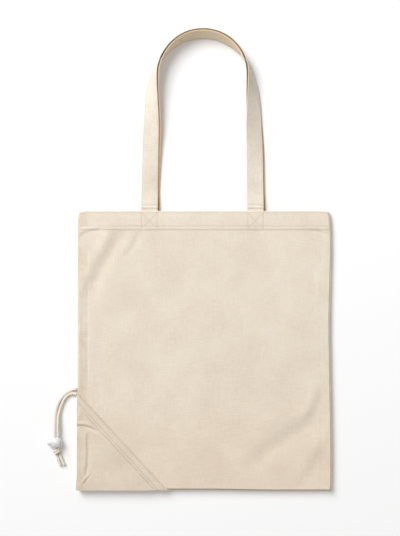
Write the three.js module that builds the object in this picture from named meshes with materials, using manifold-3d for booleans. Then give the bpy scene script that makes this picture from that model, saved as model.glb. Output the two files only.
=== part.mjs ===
// Foldable cotton shopping bag, lying flat on its back panel, with a drawcord pouch at its lower left corner.
// Millimetres. +X to the bag's right, +Y towards its mouth, +Z up. The origin is the middle of the bag's
// body, on the surface it lies on.
import * as THREE from "three";
import { mergeVertices } from "three/addons/utils/BufferGeometryUtils.js";
import Module from "manifold-3d";

const wasm = await Module();
wasm.setup();

// Bag body
const BAG_WIDTH = 380;
const BAG_HEIGHT = 420;
const CLOTH = 0.8; // one layer of cloth
const GAP = 0.3; // clearance between pieces that lie on each other
const INSIDE_HEIGHT = 7.9; // clear height between the two panels
const SEAM_ALLOWANCE = 12;
const RIM_WIDTH = 20; // how far in from an edge the front panel reaches its full height

// Handles
const STRAP_WIDTH = 25;
const STRAP_THICKNESS = 1.8;
const HANDLE_SPACING = 160; // between the middles of a handle's two legs
const HANDLE_MIDDLE_X = -2;
const HANDLE_LEG = 206; // straight part of a leg, from the mouth
const HANDLE_ARCH = 64.6; // height of the arch above the legs
const HEM = 27;
const BACK_HANDLE_SHIFT = 3; // the back handle lies this far to the right at the mouth
const TWIST_START = 100; // along the strap from the mouth, where a leg starts to stand up on its edge
const TWIST_LENGTH = 170;
const LEG_GAP = 0.4; // between the two straps where they lie on each other
const ARCH_GAP = 1.2; // between the two straps where they stand side by side
const SETTLE_LENGTH = 35; // over which a strap comes down from the mouth to the surface
const FLOOR_CLEARANCE = 0.2; // under a strap that lies on the surface

// Corner pouch and its drawcord casing
const POUCH_SIDE = 147.4; // up the bag's left edge
const POUCH_FOOT = 135.7; // along its bottom edge
const POUCH_BACK_RISE = 12; // the back half's slanted edge lies this much higher
const CASING_WIDTH = 15;
const RUN_WIDTH = 4.2; // the drawcord inside its casing, pressed flat
const RUN_HEIGHT = 2.6;
const RUN_DEPTH = 7.5; // from the casing's slanted edge to the middle of the front run
const RUN_DEPTH_AT_EXIT = 3.3;
const RUN_SETTLE = 30; // along the front run, over which it goes from the one depth to the other
const RUN_DEPTH_BACK = 5.5;

// Drawcord, free part
const CORD_DIAMETER = 3.9;
const KNOT_SIZE = new THREE.Vector3(11.4, 10.6, 9.8);

// Cord lock
const LOCK_LENGTH = 16.4;
const LOCK_DIAMETER = 16.4;
const LOCK_SQUARENESS = 2.5; // 2 is a ball, more is a squarer bead
const PLUNGER_DIAMETER = 10.2;
const PLUNGER_REACH = 5; // past the body's end, at rest
const PLUNGER_TRAVEL = 1.2;
const PLUNGER_TIP = 6.6; // diameter of the bar that clamps the cords
const CLAMP_BAR = 0.9;
const SPRING_ROOM = 1.9;
const SPRING_WIRE = 0.4;
const SPRING_TURNS = 2;
const DIMPLE_DIAMETER = 3;
const DIMPLE_DEPTH = 1.5;

// Heights, from the surface up
const BACK_TOP = CLOTH;
const FRONT_UNDER = BACK_TOP + INSIDE_HEIGHT;
const FRONT_TOP = FRONT_UNDER + CLOTH;
const POUCH_STACK = CLOTH + GAP; // pouch cloth and the gap over it
const EDGE_TOP = POUCH_STACK + CLOTH + GAP + CLOTH; // the front panel's top at its seamed edges
const MARGIN = 40; // how far cutting tools reach past what they cut
const SLIVER = 0.01;

const HALF_WIDTH = BAG_WIDTH / 2;
const HALF_HEIGHT = BAG_HEIGHT / 2;

const cotton = new THREE.MeshStandardMaterial({ color: 0xe9dccb, roughness: 0.95, metalness: 0 });
const cordCotton = new THREE.MeshStandardMaterial({ color: 0xddd0ba, roughness: 0.95, metalness: 0 });
const whitePlastic = new THREE.MeshStandardMaterial({ color: 0xf2f1f0, roughness: 0.25, metalness: 0 });
const springSteel = new THREE.MeshStandardMaterial({ color: 0xb8babd, roughness: 0.35, metalness: 1 });

const bag = new THREE.Group();

// Adds one named piece to the bag.
function addPiece(name, geometry, material) {
  const mesh = new THREE.Mesh(geometry, material);
  mesh.name = name;
  bag.add(mesh);
}

// Turns a closed three.js geometry into a solid that can be joined and cut.
function solidOf(geometry) {
  const bare = geometry.clone();
  for (const name of Object.keys(bare.attributes)) {
    if (name !== "position") bare.deleteAttribute(name);
  }
  const merged = mergeVertices(bare, 1e-4);
  return new wasm.Manifold(
    new wasm.Mesh({
      numProp: 3,
      vertProperties: merged.attributes.position.array,
      triVerts: new Uint32Array(merged.index.array),
    }),
  );
}

// Turns a solid back into a geometry, with slivers finer than a hundredth of a millimetre closed up.
function geometryOf(solid) {
  const mesh = solid.simplify(SLIVER).getMesh();
  const geometry = new THREE.BufferGeometry();
  geometry.setAttribute("position", new THREE.BufferAttribute(mesh.vertProperties, 3));
  geometry.setIndex(new THREE.BufferAttribute(mesh.triVerts, 1));
  return geometry;
}

// 0 before the start of a stretch, 1 after its end, and smooth between them.
function smooth(t) {
  return THREE.MathUtils.smoothstep(t, 0, 1);
}

// Straight lines between [x, y] pairs, held at the first and last values outside them.
function profileAt(pairs, x) {
  if (x <= pairs[0][0]) return pairs[0][1];
  for (let i = 1; i < pairs.length; i += 1) {
    const [x0, y0] = pairs[i - 1];
    const [x1, y1] = pairs[i];
    if (x <= x1) return y0 + ((y1 - y0) * (x - x0)) / (x1 - x0);
  }
  return pairs[pairs.length - 1][1];
}

// A closed block between two height functions over a grid. place(i, j) gives a grid point's [x, y], and
// crease(i, j) says that a cell is split along its other diagonal.
function layer(columns, rows, place, bottom, top, crease = () => false) {
  const positions = [];
  for (const height of [bottom, top]) {
    for (let i = 0; i < columns; i += 1) {
      for (let j = 0; j < rows; j += 1) {
        const [x, y] = place(i, j);
        positions.push(x, y, height(x, y, i, j));
      }
    }
  }
  const at = (level, i, j) => level * columns * rows + i * rows + j;
  const faces = [];
  const quad = (a, b, c, d) => faces.push(a, b, c, a, c, d);
  for (let i = 0; i + 1 < columns; i += 1) {
    for (let j = 0; j + 1 < rows; j += 1) {
      const low = [at(0, i, j), at(0, i, j + 1), at(0, i + 1, j + 1), at(0, i + 1, j)];
      const high = [at(1, i, j), at(1, i + 1, j), at(1, i + 1, j + 1), at(1, i, j + 1)];
      const turn = crease(i, j) ? 1 : 0;
      quad(low[turn], low[turn + 1], low[turn + 2], low[(turn + 3) % 4]);
      quad(high[turn], high[turn + 1], high[turn + 2], high[(turn + 3) % 4]);
    }
  }
  for (let i = 0; i + 1 < columns; i += 1) {
    quad(at(0, i, 0), at(0, i + 1, 0), at(1, i + 1, 0), at(1, i, 0));
    quad(at(0, i + 1, rows - 1), at(0, i, rows - 1), at(1, i, rows - 1), at(1, i + 1, rows - 1));
  }
  for (let j = 0; j + 1 < rows; j += 1) {
    quad(at(0, 0, j + 1), at(0, 0, j), at(1, 0, j), at(1, 0, j + 1));
    quad(at(0, columns - 1, j), at(0, columns - 1, j + 1), at(1, columns - 1, j + 1), at(1, columns - 1, j));
  }
  const geometry = new THREE.BufferGeometry();
  geometry.setAttribute("position", new THREE.Float32BufferAttribute(positions, 3));
  geometry.setIndex(faces);
  return geometry;
}

// A flat plate with the given outline, between two heights.
function plate(outline, low, high) {
  const shape = new THREE.Shape(outline.map(([x, y]) => new THREE.Vector2(x, y)));
  const geometry = new THREE.ExtrudeGeometry(shape, { depth: high - low, bevelEnabled: false });
  return geometry.translate(0, 0, low);
}

// The front panel's rim: its top at a distance in from a seamed edge.
const RIM = [
  [0, EDGE_TOP],
  [RIM_WIDTH * 0.08, EDGE_TOP + (FRONT_TOP - EDGE_TOP) * 0.36],
  [RIM_WIDTH * 0.25, EDGE_TOP + (FRONT_TOP - EDGE_TOP) * 0.68],
  [RIM_WIDTH * 0.55, EDGE_TOP + (FRONT_TOP - EDGE_TOP) * 0.91],
  [RIM_WIDTH, FRONT_TOP],
];

function frontTop(x, y) {
  const inset = Math.min(x + HALF_WIDTH, HALF_WIDTH - x, y + HALF_HEIGHT);
  return profileAt(RIM, inset);
}

// Grid lines across the bag and up it, with the rim's own lines at the seamed edges.
const rimInsets = RIM.map(([inset]) => inset);
const panelXs = [
  ...rimInsets.map((inset) => inset - HALF_WIDTH),
  0,
  ...rimInsets.map((inset) => HALF_WIDTH - inset).reverse(),
];
const panelYs = [...rimInsets.map((inset) => inset - HALF_HEIGHT), 0, HALF_HEIGHT];
const panelPlace = (i, j) => [panelXs[i], panelYs[j]];
const rightOfMiddle = (i) => i >= RIM.length;

// The back panel is flat, and is lifted where the pouch and its drawcord lie under it: its underside, at a
// depth from the pouch's slanted edge.
const LIFT = [
  [-6, 0],
  [-GAP, POUCH_STACK],
  [RUN_DEPTH_BACK - RUN_WIDTH / 2 - 0.8, POUCH_STACK + RUN_HEIGHT * 0.7],
  [RUN_DEPTH_BACK - RUN_WIDTH / 2 + 0.6, POUCH_STACK + RUN_HEIGHT + GAP],
  [RUN_DEPTH_BACK + RUN_WIDTH / 2 - 0.6, POUCH_STACK + RUN_HEIGHT + GAP],
  [RUN_DEPTH_BACK + RUN_WIDTH / 2 + 0.8, POUCH_STACK + RUN_HEIGHT * 0.7],
  [RUN_DEPTH_BACK + RUN_WIDTH / 2 + 2.6, POUCH_STACK],
];

// A solid over the whole bag, grown by an outset, between two height functions of the depth from the
// pouch's slanted edge. Its lines run parallel to that edge, and the bag's edges cut them off.
function slantedLayer(outset, bottom, top) {
  const right = HALF_WIDTH + outset;
  const high = HALF_HEIGHT + outset;
  const line = pouchLine(POUCH_BACK_RISE);
  const corners = [
    [right, high],
    [-right, high],
    [right, -high],
    [-right, -high],
  ].map(([x, y]) => line.depth(x, y));
  const depths = [...corners, ...LIFT.map(([depth]) => depth)].sort((a, b) => a - b);
  const ends = (depth) => {
    const first = [-right, line.yAt(-right, depth)];
    const last = [right, line.yAt(right, depth)];
    if (first[1] > high) first.splice(0, 2, line.xAt(high, depth), high);
    if (last[1] < -high) last.splice(0, 2, line.xAt(-high, depth), -high);
    return [first, last];
  };
  const positions = [];
  const faces = [];
  for (const depth of depths) {
    for (const [x, y] of ends(depth)) positions.push(x, y, bottom(depth), x, y, top(depth));
  }
  const quad = (a, b, c, d) => faces.push(a, b, c, a, c, d);
  for (let k = 0; k + 1 < depths.length; k += 1) {
    const a = 4 * k;
    const b = a + 4;
    quad(a + 1, b + 1, b + 3, a + 3);
    quad(a, a + 2, b + 2, b);
    quad(a, b, b + 1, a + 1);
    quad(a + 2, a + 3, b + 3, b + 2);
  }
  const geometry = new THREE.BufferGeometry();
  geometry.setAttribute("position", new THREE.Float32BufferAttribute(positions, 3));
  geometry.setIndex(faces);
  return outwardFacing(geometry);
}

function addPanels() {
  const backUnder = (depth) => profileAt(LIFT, depth);
  const shell = layer(
    panelXs.length,
    panelYs.length,
    panelPlace,
    (x, y) => frontTop(x, y) - CLOTH,
    frontTop,
    rightOfMiddle,
  );
  const underFront = slantedLayer(
    GAP,
    () => -MARGIN,
    (depth) => backUnder(depth) + CLOTH + GAP,
  );
  addPiece("front_panel", geometryOf(largest(solidOf(shell).subtract(underFront))), cotton);
  const back = slantedLayer(0, backUnder, (depth) => backUnder(depth) + CLOTH);
  addPiece("back_panel", geometryOf(back), cotton);
}

// The pouch's slanted edge, from the bag's left edge to its bottom edge. A depth is measured square to it,
// into the pouch.
function pouchLine(rise) {
  const start = new THREE.Vector2(-HALF_WIDTH, -HALF_HEIGHT + POUCH_SIDE + rise);
  const along = new THREE.Vector2(POUCH_FOOT, -POUCH_SIDE).normalize();
  const inwards = new THREE.Vector2(along.y, -along.x);
  return {
    start,
    along,
    inwards,
    length: start.clone().setY(start.y + HALF_HEIGHT).y / -along.y,
    depth: (x, y) => new THREE.Vector2(x, y).sub(start).dot(inwards),
    yAt: (x, depth) => start.y + (depth - (x - start.x) * inwards.x) / inwards.y,
    xAt: (y, depth) => start.x + (depth - (y - start.y) * inwards.y) / inwards.x,
    point: (run, depth) => [
      start.x + along.x * run + inwards.x * depth,
      start.y + along.y * run + inwards.y * depth,
    ],
  };
}

const frontLine = pouchLine(0);
const backLine = pouchLine(POUCH_BACK_RISE);

// Where the front casing and its run follow the front panel's height, as shares of the slanted edge.
const RUN_SHARES = [0.02, 0.04, 0.07, 0.11, 0.15, 0.3, 0.5, 0.7, 0.86, 0.91, 0.95];

// The seam allowances that lie inside the bag along its sewn edges, clear of the lifted corner.
function addSeamAllowances() {
  const low = BACK_TOP + GAP;
  const high = low + CLOTH;
  const inset = 1;
  const left = inset - HALF_WIDTH;
  const right = HALF_WIDTH - inset;
  const bottom = inset - HALF_HEIGHT;
  const clear = -8; // this far outside the pouch's slanted edge
  const topEnd = HALF_HEIGHT - HEM - GAP;
  const box = (x0, y0, x1, y1) => [
    [x0, y0],
    [x1, y0],
    [x1, y1],
    [x0, y1],
  ];
  const leftStart = backLine.yAt(left, clear);
  const bottomStart = backLine.xAt(bottom, clear);
  const corner = right - SEAM_ALLOWANCE;
  const strips = {
    left_seam_allowance: box(left, leftStart, left + SEAM_ALLOWANCE, topEnd),
    right_seam_allowance: box(corner, bottom, right, topEnd),
    bottom_seam_allowance: box(bottomStart, bottom, corner - GAP, bottom + SEAM_ALLOWANCE),
  };
  for (const [name, outline] of Object.entries(strips)) {
    addPiece(name, plate(outline, low, high), cotton);
  }
}

// The middle of the front run, measured from the slanted edge.
function runDepth(run) {
  return THREE.MathUtils.lerp(RUN_DEPTH_AT_EXIT, RUN_DEPTH, smooth(run / RUN_SETTLE));
}

// Everything under the front panel's top and the gap on it.
function frontKeepOut() {
  const xs = [-HALF_WIDTH - GAP, ...panelXs.slice(1), HALF_WIDTH + GAP];
  const ys = [-HALF_HEIGHT - GAP, ...panelYs.slice(1)];
  xs.splice(1, 0, -HALF_WIDTH);
  ys.splice(1, 0, -HALF_HEIGHT);
  const block = layer(
    xs.length,
    ys.length,
    (i, j) => [xs[i], ys[j]],
    () => -MARGIN,
    (x, y) => frontTop(x, y) + GAP,
    (i) => i > RIM.length,
  );
  return solidOf(block);
}

function addPouch() {
  const outside = POUCH_STACK; // how far the pouch stands out past the bag's edges
  const left = -HALF_WIDTH - outside;
  const bottom = -HALF_HEIGHT - outside;
  const keepOut = frontKeepOut();
  const triangle = (line, depth) => [
    [left, bottom],
    [line.xAt(bottom, depth), bottom],
    [left, line.yAt(left, depth)],
  ];

  const xs = [left, ...panelXs.slice(0, RIM.length), 0];
  const ys = [bottom, ...panelYs.slice(0, RIM.length), 0];
  const skin = layer(
    xs.length,
    ys.length,
    (i, j) => [xs[i], ys[j]],
    () => CLOTH + GAP,
    (x, y) => frontTop(x, y) + POUCH_STACK,
  );
  const frontCut = solidOf(plate(triangle(frontLine, CASING_WIDTH + GAP), -MARGIN, MARGIN));
  addPiece("pouch_front", geometryOf(solidOf(skin).intersect(frontCut).subtract(keepOut)), cotton);
  addPiece("pouch_back", plate(triangle(backLine, CASING_WIDTH + GAP), 0, CLOTH), cotton);

  const tunnel = addFrontCasing(keepOut, left, bottom);
  const backBand = [
    [left, backLine.yAt(left, 0)],
    [left, backLine.yAt(left, CASING_WIDTH)],
    [backLine.xAt(bottom, CASING_WIDTH), bottom],
    [backLine.xAt(bottom, 0), bottom],
  ];
  addPiece("pouch_casing_back", plate(backBand, 0, CLOTH), cotton);
  addRuns(keepOut, tunnel);
}

// The front casing: a band that humps over the drawcord, cut off at the bag's edges. Returns the space
// under it.
function addFrontCasing(keepOut, left, bottom) {
  const humpHalf = RUN_WIDTH / 2 + GAP;
  const hump = [
    [-(humpHalf + CLOTH), 0],
    [-humpHalf, RUN_HEIGHT * 0.73],
    [-RUN_WIDTH * 0.3, RUN_HEIGHT + GAP],
    [RUN_WIDTH * 0.3, RUN_HEIGHT + GAP],
    [humpHalf, RUN_HEIGHT * 0.73],
    [humpHalf + CLOTH, 0],
  ];
  const runs = [-0.06, ...RUN_SHARES, 0.99, 1.08].map((share) => share * frontLine.length);
  const across = [0, ...hump.map(([side]) => side), CASING_WIDTH];
  const depthAt = (i, j) => {
    const edge = j === 0 || j === across.length - 1;
    return edge ? across[j] : runDepth(runs[i]) + across[j];
  };
  const place = (i, j) => frontLine.point(runs[i], depthAt(i, j));
  const rise = (j) => (j === 0 || j === across.length - 1 ? 0 : hump[j - 1][1]);
  const body = layer(
    runs.length,
    across.length,
    place,
    () => CLOTH + GAP,
    (x, y, i, j) => frontTop(x, y) + POUCH_STACK + rise(j),
  );
  const tunnel = layer(
    runs.length,
    across.length,
    place,
    () => -MARGIN,
    (x, y, i, j) => frontTop(x, y) + GAP + rise(j),
  );
  const bounds = plate(
    [
      [left, bottom],
      [0, bottom],
      [0, 0],
      [left, 0],
    ],
    -MARGIN,
    MARGIN,
  );
  const under = outwardFacing(tunnel);
  const band = outwardFacing(body).subtract(under).subtract(keepOut).intersect(solidOf(bounds));
  addPiece("pouch_casing_front", geometryOf(largest(band)), cotton);
  return under;
}

// The largest of a solid's separate bodies.
function largest(solid) {
  const bodies = solid.decompose();
  return bodies.reduce((best, body) => (body.volume() > best.volume() ? body : best));
}

// A closed strip of one cross-section that follows its stations. Each station has a point and the two
// directions that the section's pairs are measured along. Opposite sides are split along like diagonals, so
// that strips which lie on each other twist alike.
function sweep(stations, section) {
  const positions = [];
  const faces = [];
  const size = section.length;
  for (const { point, across, up } of stations) {
    for (const [a, b] of section) {
      const corner = point.clone().addScaledVector(across, a).addScaledVector(up, b);
      positions.push(corner.x, corner.y, corner.z);
    }
  }
  for (let k = 0; k + 1 < stations.length; k += 1) {
    for (let m = 0; m < size; m += 1) {
      const a = k * size + m;
      const b = k * size + ((m + 1) % size);
      if (2 * m < size) faces.push(a, b, b + size, a, b + size, a + size);
      else faces.push(a, b, a + size, b, b + size, a + size);
    }
  }
  const last = (stations.length - 1) * size;
  for (let m = 1; m + 1 < size; m += 1) {
    faces.push(0, m + 1, m, last, last + m, last + m + 1);
  }
  const geometry = new THREE.BufferGeometry();
  geometry.setAttribute("position", new THREE.Float32BufferAttribute(positions, 3));
  geometry.setIndex(faces);
  return geometry;
}

// The drawcord's two runs inside the casings, pressed to an oval.
function addRuns(keepOut, tunnel) {
  const oval = [];
  for (let k = 0; k < 8; k += 1) {
    const angle = (k * Math.PI) / 4;
    oval.push([(Math.cos(angle) * RUN_WIDTH) / 2, (Math.sin(angle) * RUN_HEIGHT) / 2]);
  }
  const up = new THREE.Vector3(0, 0, 1);
  const station = (line, run, depth, height) => {
    const [x, y] = line.point(run, depth);
    return {
      point: new THREE.Vector3(x, y, height(x, y)),
      across: new THREE.Vector3(line.inwards.x, line.inwards.y, 0),
      up,
    };
  };
  const frontHeight = (x, y) => frontTop(x, y) + GAP + RUN_HEIGHT / 2;
  const frontRuns = [0.011, ...RUN_SHARES, 0.97].map((share) => share * frontLine.length);
  const frontStations = frontRuns.map((run) => station(frontLine, run, runDepth(run), frontHeight));
  const room = tunnel.translate(0, 0, -GAP);
  const front = largest(outwardFacing(sweep(frontStations, oval)).subtract(keepOut).intersect(room));
  addPiece("drawcord_run_front", geometryOf(front), cordCotton);

  const backHeight = () => CLOTH + GAP + RUN_HEIGHT / 2;
  const backRuns = [RUN_DEPTH_BACK * 0.9, backLine.length - RUN_DEPTH_BACK];
  const backStations = backRuns.map((run) => station(backLine, run, RUN_DEPTH_BACK, backHeight));
  addPiece("drawcord_run_back", geometryOf(outwardFacing(sweep(backStations, oval))), cordCotton);
}

// One handle's inner edge line and the strap's turn at a length along it. side is 1 for the front handle,
// which lies on the back one, and -1 for the back one.
function strapStation(along, side) {
  const halfWidth = (HANDLE_SPACING - STRAP_WIDTH) / 2;
  const archLength = archLengthOf(halfWidth);
  const total = 2 * HANDLE_LEG + archLength;
  const fromEnd = Math.min(along, total - along);
  const inner = new THREE.Vector3(HANDLE_MIDDLE_X, HALF_HEIGHT, 0);
  const outwards = new THREE.Vector3();
  if (fromEnd <= HANDLE_LEG) {
    const hand = along < total / 2 ? -1 : 1;
    inner.x += hand * halfWidth;
    inner.y += fromEnd;
    outwards.set(hand, 0, 0);
  } else {
    const angle = Math.PI * ((along - HANDLE_LEG) / archLength);
    inner.x -= halfWidth * Math.cos(angle);
    inner.y += HANDLE_LEG + HANDLE_ARCH * Math.sin(angle);
    outwards.set(-HANDLE_ARCH * Math.cos(angle), halfWidth * Math.sin(angle), 0).normalize();
  }
  const turn = (Math.PI / 2) * smooth((fromEnd - TWIST_START) / TWIST_LENGTH);
  const apartLying = (STRAP_THICKNESS + THREE.MathUtils.lerp(LEG_GAP, ARCH_GAP, Math.sin(turn))) / 2;
  const lying = (apartLying + STRAP_THICKNESS / 2) * Math.cos(turn) + FLOOR_CLEARANCE;
  const frontAtMouth = FRONT_UNDER - GAP - STRAP_THICKNESS / 2;
  const backAtMouth = BACK_TOP + GAP + STRAP_THICKNESS / 2;
  const down = 1 - smooth(fromEnd / SETTLE_LENGTH);
  const apart = THREE.MathUtils.lerp(apartLying, (frontAtMouth - backAtMouth) / 2, down);
  inner.z = STRAP_WIDTH * Math.sin(turn) + lying;
  inner.z += down * ((frontAtMouth + backAtMouth) / 2 - lying);
  const across = outwards.clone().multiplyScalar(Math.cos(turn));
  across.z = -Math.sin(turn);
  const normal = outwards.clone().multiplyScalar(Math.sin(turn));
  normal.z = Math.cos(turn);
  inner.addScaledVector(normal, side * apart);
  if (side < 0) inner.x += BACK_HANDLE_SHIFT * (1 - smooth(fromEnd / TWIST_START));
  return { point: inner, across, up: normal };
}

function archLengthOf(halfWidth) {
  return (Math.PI * (halfWidth + HANDLE_ARCH)) / 2;
}

function addHandle(prefix, side) {
  const halfWidth = (HANDLE_SPACING - STRAP_WIDTH) / 2;
  const total = 2 * HANDLE_LEG + archLengthOf(halfWidth);
  const half = [GAP];
  for (const share of [0.26, 0.52, 0.78, 1, 1.95]) half.push(share * SETTLE_LENGTH);
  for (let share = 0; share < 10; share += 1) {
    half.push(TWIST_START + ((HANDLE_LEG - TWIST_START) * share) / 10);
  }
  const lengths = [...half];
  const archSteps = 18;
  for (let k = 1; k < archSteps; k += 1) {
    lengths.push(HANDLE_LEG + ((total - 2 * HANDLE_LEG) * k) / archSteps);
  }
  lengths.push(...half.map((along) => total - along).reverse());
  const t = STRAP_THICKNESS / 2;
  const section = [
    [0, -t],
    [STRAP_WIDTH, -t],
    [STRAP_WIDTH, t],
    [0, t],
  ];
  const strip = sweep(lengths.map((along) => strapStation(along, side)), section);
  addPiece(prefix, geometryOf(outwardFacing(strip)), cotton);

  const x = HANDLE_MIDDLE_X + (side < 0 ? BACK_HANDLE_SHIFT : 0);
  const low = side > 0 ? FRONT_UNDER - GAP - STRAP_THICKNESS : BACK_TOP + GAP;
  for (const [hand, word] of [
    [-1, "left"],
    [1, "right"],
  ]) {
    const near = x + hand * halfWidth;
    const far = near + hand * STRAP_WIDTH;
    const end = plate(
      [
        [Math.min(near, far), HALF_HEIGHT - HEM],
        [Math.max(near, far), HALF_HEIGHT - HEM],
        [Math.max(near, far), HALF_HEIGHT],
        [Math.min(near, far), HALF_HEIGHT],
      ],
      low,
      low + STRAP_THICKNESS,
    );
    addPiece(`${prefix}_${word}_end`, end, cotton);
  }
}

// A closed geometry as a solid, turned the right way out.
function outwardFacing(geometry) {
  const solid = solidOf(geometry);
  if (solid.volume() > 0) return solid;
  const index = geometry.index.array;
  const turned = [];
  for (let k = 0; k < index.length; k += 3) turned.push(index[k], index[k + 2], index[k + 1]);
  const copy = geometry.clone();
  copy.setIndex(turned);
  return solidOf(copy);
}

// The free cord. Its points are in millimetres, in the order from the bag to the knot or the cut end.
const LOCK_MIDDLE = new THREE.Vector3(-222.25, -138.7, LOCK_DIAMETER / 2 + 0.1);
const KNOT_MIDDLE = new THREE.Vector3(-222.4, -152.7, KNOT_SIZE.z / 2 + 0.1);
const CORD_LEG_OUTER = [
  [-192.2, -58.6, 2.5],
  [-197.5, -59.6, 2.1],
  [-206.5, -64.2, 2.0],
  [-213.6, -70.6, 2.0],
  [-219.6, -79.6, 2.0],
  [-223.3, -91.6, 3.0],
  [-224.5, -103.0, 5.9],
  [-224.5, -113.0, 8.0],
  [-224.5, -121.0, 8.3],
  [-224.5, -130.0, 8.3],
  [-224.5, -140.0, 8.3],
  [-224.5, -152.0, 8.3],
];
const CORD_LEG_INNER = [
  [-192.2, -66.4, 4.4],
  [-196.5, -65.4, 3.4],
  [-202.4, -67.0, 2.2],
  [-208.2, -71.7, 2.0],
  [-213.4, -80.6, 2.0],
  [-217.9, -92.3, 3.0],
  [-220.0, -103.0, 5.9],
  [-220.0, -113.0, 8.0],
  [-220.0, -121.0, 8.3],
  [-220.0, -130.0, 8.3],
  [-220.0, -140.0, 8.3],
  [-220.0, -152.0, 8.3],
];
const CORD_TAIL_LEFT = [
  [-223.6, -154.0, 2.6],
  [-222.2, -159.4, 2.1],
  [-219.2, -166.2, 2.0],
  [-214.8, -174.6, 2.0],
];
const CORD_TAIL_RIGHT = [
  [-219.0, -153.4, 2.6],
  [-216.9, -158.8, 2.1],
  [-213.0, -166.0, 2.0],
  [-208.2, -174.0, 2.0],
];

function cordSolid(points, steps) {
  const path = new THREE.CatmullRomCurve3(
    points.map(([x, y, z]) => new THREE.Vector3(x, y, z)),
    false,
    "centripetal",
  );
  const circle = new THREE.Shape();
  const sides = 8;
  for (let k = 0; k < sides; k += 1) {
    const angle = ((k + 0.5) * 2 * Math.PI) / sides;
    const x = (Math.cos(angle) * CORD_DIAMETER) / 2;
    const y = (Math.sin(angle) * CORD_DIAMETER) / 2;
    if (k === 0) circle.moveTo(x, y);
    else circle.lineTo(x, y);
  }
  circle.closePath();
  return solidOf(new THREE.ExtrudeGeometry(circle, { steps, extrudePath: path, bevelEnabled: false }));
}

function addFreeCord() {
  const knot = (extra) => {
    const ball = new THREE.SphereGeometry(0.5, 16, 10);
    ball.scale(KNOT_SIZE.x + extra, KNOT_SIZE.y + extra, KNOT_SIZE.z + extra);
    return solidOf(ball.translate(KNOT_MIDDLE.x, KNOT_MIDDLE.y, KNOT_MIDDLE.z));
  };
  addPiece("drawcord_knot", geometryOf(knot(0)), cordCotton);
  const clear = knot(2 * GAP);
  const stretches = [
    ["drawcord_leg_outer", CORD_LEG_OUTER, 14],
    ["drawcord_leg_inner", CORD_LEG_INNER, 14],
    ["drawcord_tail_left", CORD_TAIL_LEFT, 4],
    ["drawcord_tail_right", CORD_TAIL_RIGHT, 4],
  ];
  for (const [name, points, steps] of stretches) {
    addPiece(name, geometryOf(largest(cordSolid(points, steps).subtract(clear))), cordCotton);
  }
}

// A solid of revolution about the X axis from [x, radius] pairs that start and end on the axis.
function turned(pairs, segments) {
  const points = pairs.map(([x, radius]) => new THREE.Vector2(radius, x));
  const lathe = new THREE.LatheGeometry(points, segments);
  return outwardFacing(lathe.rotateZ(-Math.PI / 2));
}

// A cylinder along X between two places.
function rod(diameter, x0, x1) {
  return turned(
    [
      [x0, 0],
      [x0, diameter / 2],
      [x1, diameter / 2],
      [x1, 0],
    ],
    20,
  );
}

// The cord lock: places along X are measured from its middle, and the button points to -X.
function addCordLock() {
  const halfLength = LOCK_LENGTH / 2;
  const cordSpread = CORD_LEG_INNER[11][0] - CORD_LEG_OUTER[11][0];
  const cordsHalf = (cordSpread + CORD_DIAMETER) / 2;
  const holeHalf = cordsHalf + GAP;
  const holeHeight = CORD_DIAMETER + 2 * GAP;
  const barStart = holeHalf;
  const barEnd = barStart + CLAMP_BAR;
  const boreEnd = barEnd + SPRING_ROOM;
  const plungerOut = -(halfLength + PLUNGER_REACH);
  const bead = [];
  const rings = 12;
  for (let k = 0; k <= rings; k += 1) {
    const x = -Math.cos((Math.PI * k) / rings);
    const radius = (1 - Math.abs(x) ** LOCK_SQUARENESS) ** (1 / LOCK_SQUARENESS);
    bead.push([x * halfLength, (radius * LOCK_DIAMETER) / 2]);
  }
  bead[0][1] = 0;
  bead[rings][1] = 0;
  const bore = rod(PLUNGER_DIAMETER + 2 * GAP, -halfLength - MARGIN, barStart);
  const narrow = rod(PLUNGER_TIP + 2 * GAP, 0, boreEnd);
  const slot = cordSlot(holeHalf, holeHalf, holeHeight);
  const body = turned(bead, 24).subtract(bore).subtract(narrow).subtract(slot);
  const place = (solid) => {
    const geometry = geometryOf(solid);
    return geometry.translate(LOCK_MIDDLE.x, LOCK_MIDDLE.y, LOCK_MIDDLE.z);
  };
  addPiece("cord_lock_body", place(body), whitePlastic);

  const radius = PLUNGER_DIAMETER / 2;
  const taperEnd = barStart - PLUNGER_TRAVEL;
  const button = turned(
    [
      [plungerOut, 0],
      [plungerOut, radius * 0.62],
      [plungerOut + 0.5, radius * 0.86],
      [plungerOut + 1.5, radius],
      [taperEnd - 2 * GAP, radius],
      [taperEnd, PLUNGER_TIP / 2],
      [barEnd, PLUNGER_TIP / 2],
      [barEnd, 0],
    ],
    20,
  );
  const dimple = rod(DIMPLE_DIAMETER, plungerOut - MARGIN, plungerOut + DIMPLE_DEPTH);
  const cross = cordSlot(holeHalf + PLUNGER_TRAVEL, barStart, holeHeight);
  addPiece("cord_lock_plunger", place(button.subtract(dimple).subtract(cross)), whitePlastic);
  addPiece("cord_lock_spring", place(springSolid(barEnd + GAP, boreEnd - GAP)), springSteel);
}

// The square-cornered hole that the two cords pass through, along Y.
function cordSlot(left, right, height) {
  const box = new THREE.BoxGeometry(left + right, LOCK_DIAMETER + MARGIN, height);
  return solidOf(box.translate((right - left) / 2, 0, 0));
}

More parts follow.
